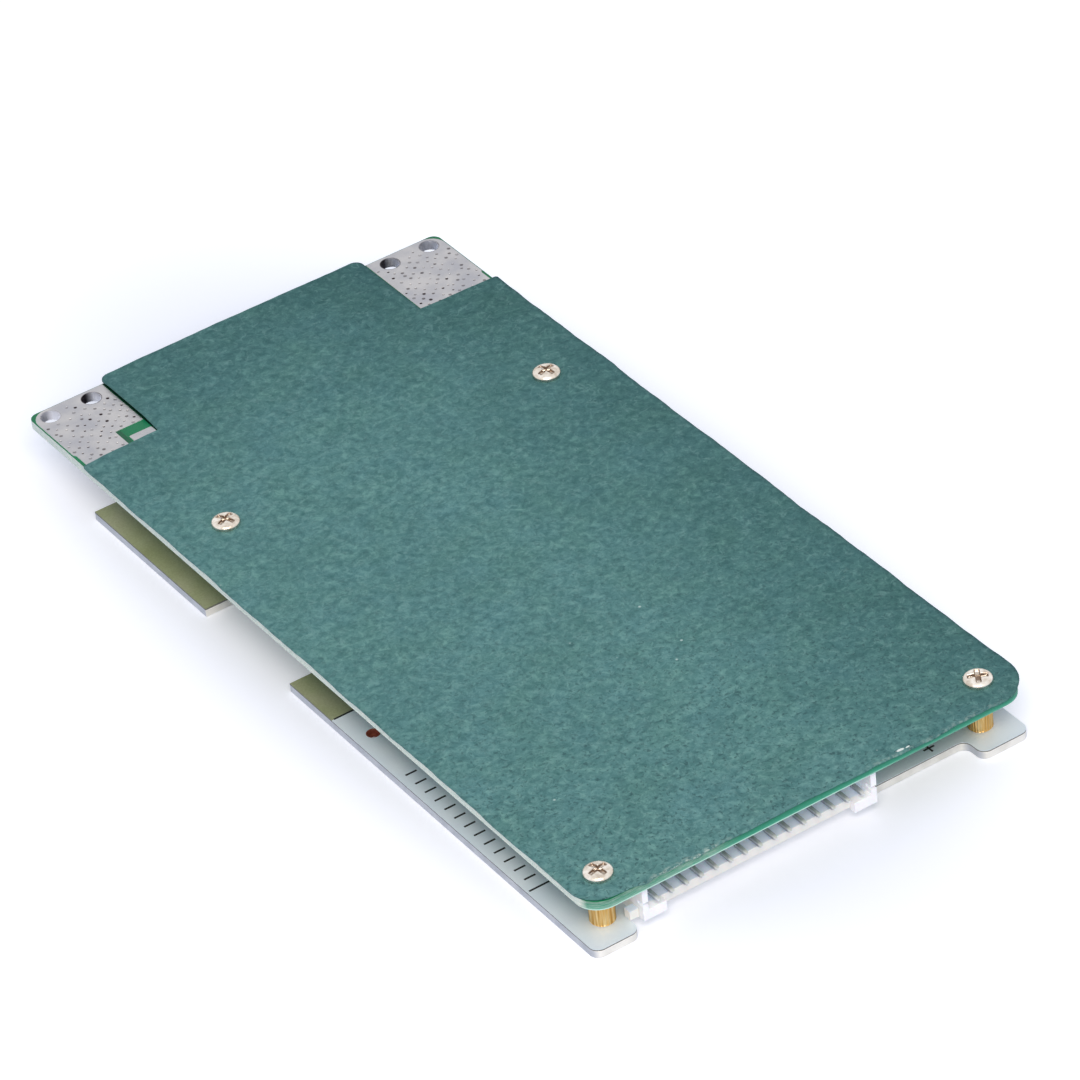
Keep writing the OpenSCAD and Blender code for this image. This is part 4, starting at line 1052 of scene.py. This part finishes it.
def pale_mask():
    """Pale blue solder mask with a faint orange peel."""
    material, add, mm = new_finish("pale_solder_mask", Roughness=0.3, Specular_IOR_Level=0.5)
    cloud = add("TexNoise", {"Vector": mm, "Scale": 0.15, "Detail": 2.0})
    add("ValToRGB", {"Fac": cloud}, stops=[(0.35, "#deedfa"), (0.65, "#e7f3fd")], to="Base Color")
    peel = add("TexNoise", {"Vector": mm, "Scale": 1.5, "Detail": 2.0})
    add("Bump", {"Height": peel, "Distance": 0.02 * MM}, to="Normal")
    return material


# Black ink, screen-printed and a little uneven.
ink_finish = grained_finish("screen_printed_ink", 6.0, 3.0, [(0.35, "#0e0f12"), (0.75, "#2c2f36")],
                            Roughness=0.6)
aluminium_finish = aluminium_core()
print("finishes of the power board made")

# %% [markdown]
# ## Dressing the power board
# The core has corners that a hand would feel, so its copy gets soft edges. The epoxy, the mask and the
# print are so thin that their CAD solids serve as they are, each with its own finish.

# %% Dress the power board
plate = soften("aluminium_plate", "heat_spreader", 0.07, aluminium_finish)
for node, finish in [("dielectric_layer", olive_dielectric()), ("plate_mask", pale_mask()),
                     ("plate_legend", ink_finish)]:
    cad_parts[node].material_slots[0].material = finish
    print(node, "keeps its CAD shape, finish", finish.name)

# %% [markdown]
# ## Tooling hole
# A drill that is pushed through epoxy and aluminium leaves a scorched brown lining. It is a thin
# turned sleeve inside the hole.

# %% Make the hole's lining
TOOL_HOLE, TOOL_R = (-27.6, -12.3), 0.85
LINING_LOOP = [(TOOL_R, 0.05), (TOOL_R, PLATE_TOP + 0.02), (0.72, PLATE_TOP - 0.06), (0.70, 0.1),
               (TOOL_R, 0.05)]
# Epoxy resin scorched by the drill.
scorched_finish = grained_finish("scorched_resin", 2.0, 4.0,
                                 [(0.3, "#84402f"), (0.5, "#96503e"), (0.7, "#a65f4b")], Roughness=0.6)
make_piece("tooling_hole_lining", turned_shape(LINING_LOOP, TOOL_HOLE, 40), [scorched_finish])
print("lining of the tooling hole at", TOOL_HOLE)

# %% [markdown]
# ## Moulded packages
# The parts between the boards are mostly moulded: black epoxy round a lead frame. A mould needs
# draft, so each body is widest at the level of its leads and leans in above and below it. Leads are
# flat strips bent down to the board. Two shapes cover nearly all of them: a drafted block and a bent
# strip.

# %% Finishes and shapes of packages
def drafted_block(low, high, parting, lean=0.12, radius=0.15):
    """Block that is full width at height parting, and leans in by lean above and below it."""
    outline = rounded_rectangle(low[:2], high[:2], radius, 2)
    return prism_shape(outline, [(lean + 0.05, low[2]), (lean, low[2] + 0.05), (0, parting),
                                 (lean, high[2] - 0.05), (lean + 0.05, high[2])])


def edged_block(low, high, edge=0.05):
    """Block with a small chamfer all round."""
    outline = rounded_rectangle(low[:2], high[:2], edge, 2)
    return prism_shape(outline, [(edge, low[2]), (0, low[2] + edge), (0, high[2] - edge), (edge, high[2])])


# Black moulding compound: epoxy with fine silica.
epoxy_finish = grained_finish("black_moulding_compound", 5.0, 3.0, [(0.35, "#1b1b1e"), (0.7, "#2c2c30")],
                              bump=0.03, Roughness=0.55)
package_finishes = [epoxy_finish, pin_finish]
print("finish:", epoxy_finish.name)

# %% [markdown]
# ## Power transistors
# The twelve power transistors switch the load current. Each has a tinned drain tab under its body,
# which sticks out at the back with trimmed corners, and two leads bent down at the front.

# %% Make the power transistors
# Thickness of the lead frame, half width of the tab, and the leads' distance from the middle and reach.
FRAME_T, TAB_HALF, LEAD_OFF, LEAD_L = 0.5, 2.65, 2.28, 2.8


def transistor_parts(node):
    """Body, tab and two leads of one transistor, in its CAD box."""
    low, high = box_mm(node)
    x, back = (low[0] + high[0]) / 2, high[1] - 1.0
    front = low[1] + LEAD_L
    body = drafted_block((low[0], front, low[2] + 0.06), (high[0], back, high[2]), low[2] + FRAME_T,
                         0.18, 0.2)
    tab = np.array([(x - TAB_HALF, front + 1.2), (x + TAB_HALF, front + 1.2), (x + TAB_HALF, back + 0.6),
                    (x + 2.2, high[1]), (x - 2.2, high[1]), (x - TAB_HALF, back + 0.6)])
    rims = [(0.04, low[2]), (0, low[2] + 0.04), (0, low[2] + FRAME_T - 0.04), (0.04, low[2] + FRAME_T)]
    parts = [(body, 0), (prism_shape(tab, rims), 1)]
    path = [(0, 0.85), (0.7, 0.85), (1.1, 0.72), (1.5, 0.38), (1.9, 0.25), (LEAD_L + 0.3, 0.25)]
    for side in (-1, 1):
        start = (x + side * LEAD_OFF, front + 0.3, low[2])
        parts.append((strip_at(start, (0, -1, 0), path, 0.42, 0.75), 1))
    return parts


transistor_nodes = sorted(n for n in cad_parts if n.startswith("mosfet_"))
transistor_shape = joined(*[part for node in transistor_nodes for part in transistor_parts(node)])
make_piece("power_transistors", transistor_shape, package_finishes, transistor_nodes)
print("power transistors:", len(transistor_nodes))

# %% [markdown]
# ## Chips and small transistors
# These hang under the control board. The cell monitor has leads on four sides, the controller on
# two, and the fourteen balance transistors and the regulator have two leads and one.

# %% Make the chips and small transistors
def hanging_lead(x, y, direction, lead_w, rise, reach):
    """A gull-wing lead that leaves a body rise below the board and bends up to it."""
    path = [(-0.15, -rise), (0.28 * reach, -rise), (0.42 * reach, -0.75 * rise),
            (0.55 * reach, -0.3 * rise), (0.68 * reach, -0.09), (reach, -0.09)]
    return strip_at((x, y, board_low[2]), direction, path, 0.15, lead_w)


def chip_parts(node, body_size, leads_x, leads_y, pitch):
    """Body and leads of a flat pack in its CAD box."""
    low, high = box_mm(node)
    centre, half, top = (low + high)[:2] / 2, np.array(body_size) / 2, high[2] - 0.1
    parting = (low[2] + top) / 2
    parts = [(drafted_block((*(centre - half), low[2]), (*(centre + half), top), parting), 0)]
    for side in (-1, 1):
        for axis, count in ((0, leads_x), (1, leads_y)):
            way = np.array([axis, 1 - axis, 0]) * side
            for k in range(count):
                spot = centre + way[:2] * half
                spot[axis] = centre[axis] + (k - (count - 1) / 2) * pitch
                parts.append((hanging_lead(*spot, way, 0.45 * pitch, high[2] - parting, 1.0), 1))
    return parts


def small_transistor_parts(box, lead_w):
    """Body, two front leads and one back lead in a CAD box."""
    low, high = box
    reach = 0.5 * lead_w + 0.35
    front, back, top = low[1] + reach, high[1] - reach, high[2] - 0.08
    parting = (low[2] + top) / 2
    parts = [(drafted_block((low[0], front, low[2]), (high[0], back, top), parting, 0.08, 0.1), 0)]
    for x, y, way in [(low[0] + lead_w, front, -1), (high[0] - lead_w, front, -1),
                      ((low[0] + high[0]) / 2, back, 1)]:
        parts.append((hanging_lead(x, y, (0, way, 0), lead_w, high[2] - parting, reach), 1))
    return parts


switches = [part for box in solid_boxes("balance_transistors") for part in small_transistor_parts(box, 0.4)]
for name, node, parts in [
        ("cell_monitor", "monitor_chip", chip_parts("monitor_chip", (7, 7), 12, 12, 0.5)),
        ("controller", "controller_chip", chip_parts("controller_chip", (6.5, 4.4), 10, 0, 0.65)),
        ("balance_switches", "balance_transistors", switches),
        ("voltage_regulator", "regulator", small_transistor_parts(box_mm("regulator"), 0.6))]:
    make_piece(name, joined(*parts), package_finishes, [node])
    print(name, "of", len(parts), "bodies and leads")

# %% [markdown]
# ## Chip resistors, capacitors and shunts
# A chip part is a small fired block whose two ends were dipped to make its contacts. The block is a
# little thinner than the dipped ends. Resistors and shunts have a black glaze, capacitors are tan.

# %% Make the chip parts
def chip_part(box, cap):
    """Block with two dipped ends, front and back, each cap long."""
    low, high = box
    front, back = (high[0], low[1] + cap, high[2]), (low[0], high[1] - cap, low[2])
    return [(edged_block(low + 0.04, high - 0.04), 0), (edged_block(low, front, 0.06), 1),
            (edged_block(back, high, 0.06), 1)]


# Black glass glaze of resistors and shunts, and the fired tan ceramic of capacitors.
glaze_finish = grained_finish("resistor_glaze", 3.0, 2.0, [(0.35, "#17171a"), (0.7, "#26262b")],
                              Roughness=0.35)
ceramic_finish = grained_finish("fired_capacitor_ceramic", 4.0, 3.0, [(0.35, "#a98a66"), (0.7, "#c4a680")],
                                Roughness=0.45)
for name, node, cap, finish, slot in [
        ("balance_resistor_row", "balance_resistors", 0.5, glaze_finish, "resistor_coat"),
        ("filter_capacitor_row", "filter_capacitors", 0.4, ceramic_finish, "capacitor_ceramic"),
        ("gate_resistor_rows", "gate_resistors", 0.3, glaze_finish, "resistor_coat"),
        ("thermistor_chip", "thermistor", 0.4, glaze_finish, "resistor_coat")]:
    parts = [part for box in solid_boxes(node) for part in chip_part(box, cap)]
    make_piece(name, joined(*parts), [finish, pin_finish], [node])
    print(name, "of", len(parts) // 3)
for k in range(1, 5):
    make_piece(f"current_shunt_{k}", joined(*chip_part(box_mm(f"shunt_{k}"), 1.1)),
               [glaze_finish, pin_finish], [f"shunt_{k}"])

# %% [markdown]
# ## Surge diodes, board link and power links
# Two surge diodes guard the supply. Their leads wrap round the ends of the body. The link between the
# boards is a pin strip in black nylon that plugs into a socket, and the load current passes through
# two strips of tinned copper, folded into a U. Folded copper has round bends, so its copy gets a wide
# bevel.

# %% Make the diodes and the links
def diode_parts(node):
    """Drafted body and two leads that wrap round its ends, in a CAD box."""
    low, high = box_mm(node)
    lip = 0.3
    body = drafted_block((low[0] + lip, low[1], low[2]), (high[0] - lip, high[1], high[2] - 0.15),
                         (low[2] + high[2]) / 2, 0.15, 0.2)
    y, drop = (low[1] + high[1]) / 2, (high[2] - low[2]) / 2
    parts = [(body, 0)]
    for x, way in [(low[0] + lip, -1), (high[0] - lip, 1)]:
        path = [(-0.2, -drop), (0.1, -drop), (0.2, 0.15 - drop), (0.2, -0.3), (0.1, -0.1), (-0.9, -0.1)]
        parts.append((strip_at((x, y, high[2]), (way, 0, 0), path, 0.18, 1.9), 1))
    return parts


for node in ("left_surge_diode", "right_surge_diode"):
    make_piece(node + "_body", joined(*diode_parts(node)), package_finishes, [node])
# Black nylon with short glass fibres, brass with a flash of gold, and copper dipped in tin.
nylon_black = grained_finish("glass_filled_nylon", 6.0, 3.0, [(0.35, "#1e1e21"), (0.7, "#303036")],
                             bump=0.02, Roughness=0.5)
gold_finish = grained_finish("gold_flashed_brass", 3.0, 3.0, [(0.35, "#c9a24a"), (0.7, "#e6c877")],
                             rough=(0.2, 0.35), Metallic=1.0)
link_finish = grained_finish("dipped_copper_strip", 0.8, 4.0, [(0.35, "#b0adb3"), (0.65, "#c9c6c8")],
                             rough=(0.3, 0.5), Metallic=1.0)
soften("link_pin_strip", "link_plug", 0.12, nylon_black)
soften("link_socket_strip", "link_socket", 0.12, nylon_black)
soften("link_pin_wires", "link_pins", 0.08, gold_finish)
for node in ("left_power_link", "right_power_link"):
    soften(node + "_strip", node, 0.25, link_finish, segments=4)
print("links between the boards made")

# %% [markdown]
# ## The floor
# A plain white sheet carries the module. It keeps the soft shadow. For the camera it is a little
# brighter than the light alone would make it, more so away from the object, where it ends in pure
# white.

# %% Make the floor
FLOOR_HALF, FLOOR_DROP = 3000.0, 0.02
floor_points = np.array([(x * FLOOR_HALF, y * FLOOR_HALF, -FLOOR_DROP)
                         for x, y in [(-1, -1), (1, -1), (1, 1), (-1, 1)]])
floor_mesh = bpy.data.meshes.new("floor")
floor_mesh.from_pydata((floor_points * MM).tolist(), [], [[0, 1, 2, 3]])
floor = bpy.data.objects.new("floor", floor_mesh)
scene.collection.objects.link(floor)


def white_sheet():
    """White sheet that gains brightness between 30 and 50 mm from the middle, for the camera only."""
    material, add, mm = new_finish("matt_white_sheet", Base_Color="#e8edf9", Roughness=0.5,
                                   Specular_IOR_Level=0.2, Emission_Color="#ffffff")
    seen = add("LightPath").outputs["Is Camera Ray"]
    away = add("VectorMath", {0: mm, 1: (1.0, 0.45, 0.0)}, operation="MULTIPLY")
    away = add("VectorMath", {0: away}, operation="LENGTH").outputs["Value"]
    lift = add("MapRange", {"Value": away}, span=(30.0, 50.0, 0.20, 0.5))
    add("Math", {0: seen, 1: lift}, operation="MULTIPLY", to="Emission Strength")
    return material


floor_mesh.materials.append(white_sheet())
print("floor half width in mm:", FLOOR_HALF)

# %% [markdown]
# ## Light
# Soft studio light: an even surround, a little cold, gives about half of it, and one large and
# slightly warm lamp in front of the module and above it the rest. So level surfaces get about as much
# light as they need to look as their colour is written. A lamp of power P that faces a surface d away
# adds P / (pi^2 d^2) to that level, times the cosine of its slant. Rays that a viewer or a shiny
# surface sends see the surround as plain white.

# %% Make the surround and the lamp
# Light levels of the surround and of the lamp, where 1 shows a colour as it is written.
SURROUND, KEY_LEVEL = 0.55, 0.50
world = bpy.data.worlds.new("white_surround")
scene.world = world
world.use_nodes = True
sky = world.node_tree.nodes["Background"]
seen = 0.0
for kind in ("Is Camera Ray", "Is Glossy Ray", "Is Transmission Ray"):
    ray = add_node(world.node_tree, "LightPath").outputs[kind]
    seen = add_node(world.node_tree, "Math", {0: seen, 1: ray}, operation="MAXIMUM")
add_node(world.node_tree, "Mix", {"Factor": seen, "A": "#dfeaff", "B": "#ffffff"}, to=sky.inputs["Color"])
add_node(world.node_tree, "MapRange", {"Value": seen}, span=(0, 1, SURROUND, 1.0),
         to=sky.inputs["Strength"])


def stand(obj, axes, place):
    """Gives an object its place, in metres, and its own X, Y and Z axes, the columns of axes."""
    obj.matrix_world = Matrix([[*axes[k], place[k]] for k in range(3)] + [[0, 0, 0, 1]])


KEY_PLACE = np.array([-0.26, -0.46, 0.58])
lamp = bpy.data.lights.new("key_lamp", "AREA")
lamp.shape = "RECTANGLE"
lamp.size, lamp.size_y = 0.45, 0.45
lamp.color = linear("#fff1de")[:3]
distance = np.linalg.norm(KEY_PLACE)
lamp.energy = KEY_LEVEL * np.pi ** 2 * distance ** 2 / (KEY_PLACE[2] / distance)
key = bpy.data.objects.new("key_lamp", lamp)
scene.collection.objects.link(key)
back = KEY_PLACE / distance
right = np.cross((0, 0, 1), back)
right /= np.linalg.norm(right)
stand(key, np.column_stack([right, np.cross(back, right), back]), KEY_PLACE)
print("key lamp in watts:", round(lamp.energy, 2))

# %% [markdown]
# ## The camera
# A long lens from some way off, as for a catalogue. The module is seen from its left front corner and
# from above, and the camera leans a little.

# %% Place the camera
# The point looked at and the distance to it, in millimetres, and the three angles of the view.
AIM_AT, CAMERA_FAR = np.array([3.468, -1.792, 7.6]), 712.575
AROUND, ABOVE, LEAN = np.radians([30.7226, 36.5020, 6.1040])
forward = np.array([np.sin(AROUND) * np.cos(ABOVE), np.cos(AROUND) * np.cos(ABOVE), -np.sin(ABOVE)])
level = np.array([np.cos(AROUND), -np.sin(AROUND), 0.0])
upright = np.cross(level, forward)
up = upright * np.cos(LEAN) + level * np.sin(LEAN)
right = level * np.cos(LEAN) - upright * np.sin(LEAN)
place = (AIM_AT - forward * CAMERA_FAR) * MM
camera_data = bpy.data.cameras.new("camera")
camera_data.lens, camera_data.sensor_width = 202.731, 36.0
camera_data.clip_end = 10.0
camera = bpy.data.objects.new("camera", camera_data)
scene.collection.objects.link(camera)
stand(camera, np.column_stack([right, up, -forward]), place)
scene.camera = camera
scene.view_settings.view_transform = "Standard"
print("camera at", np.round(place, 3))
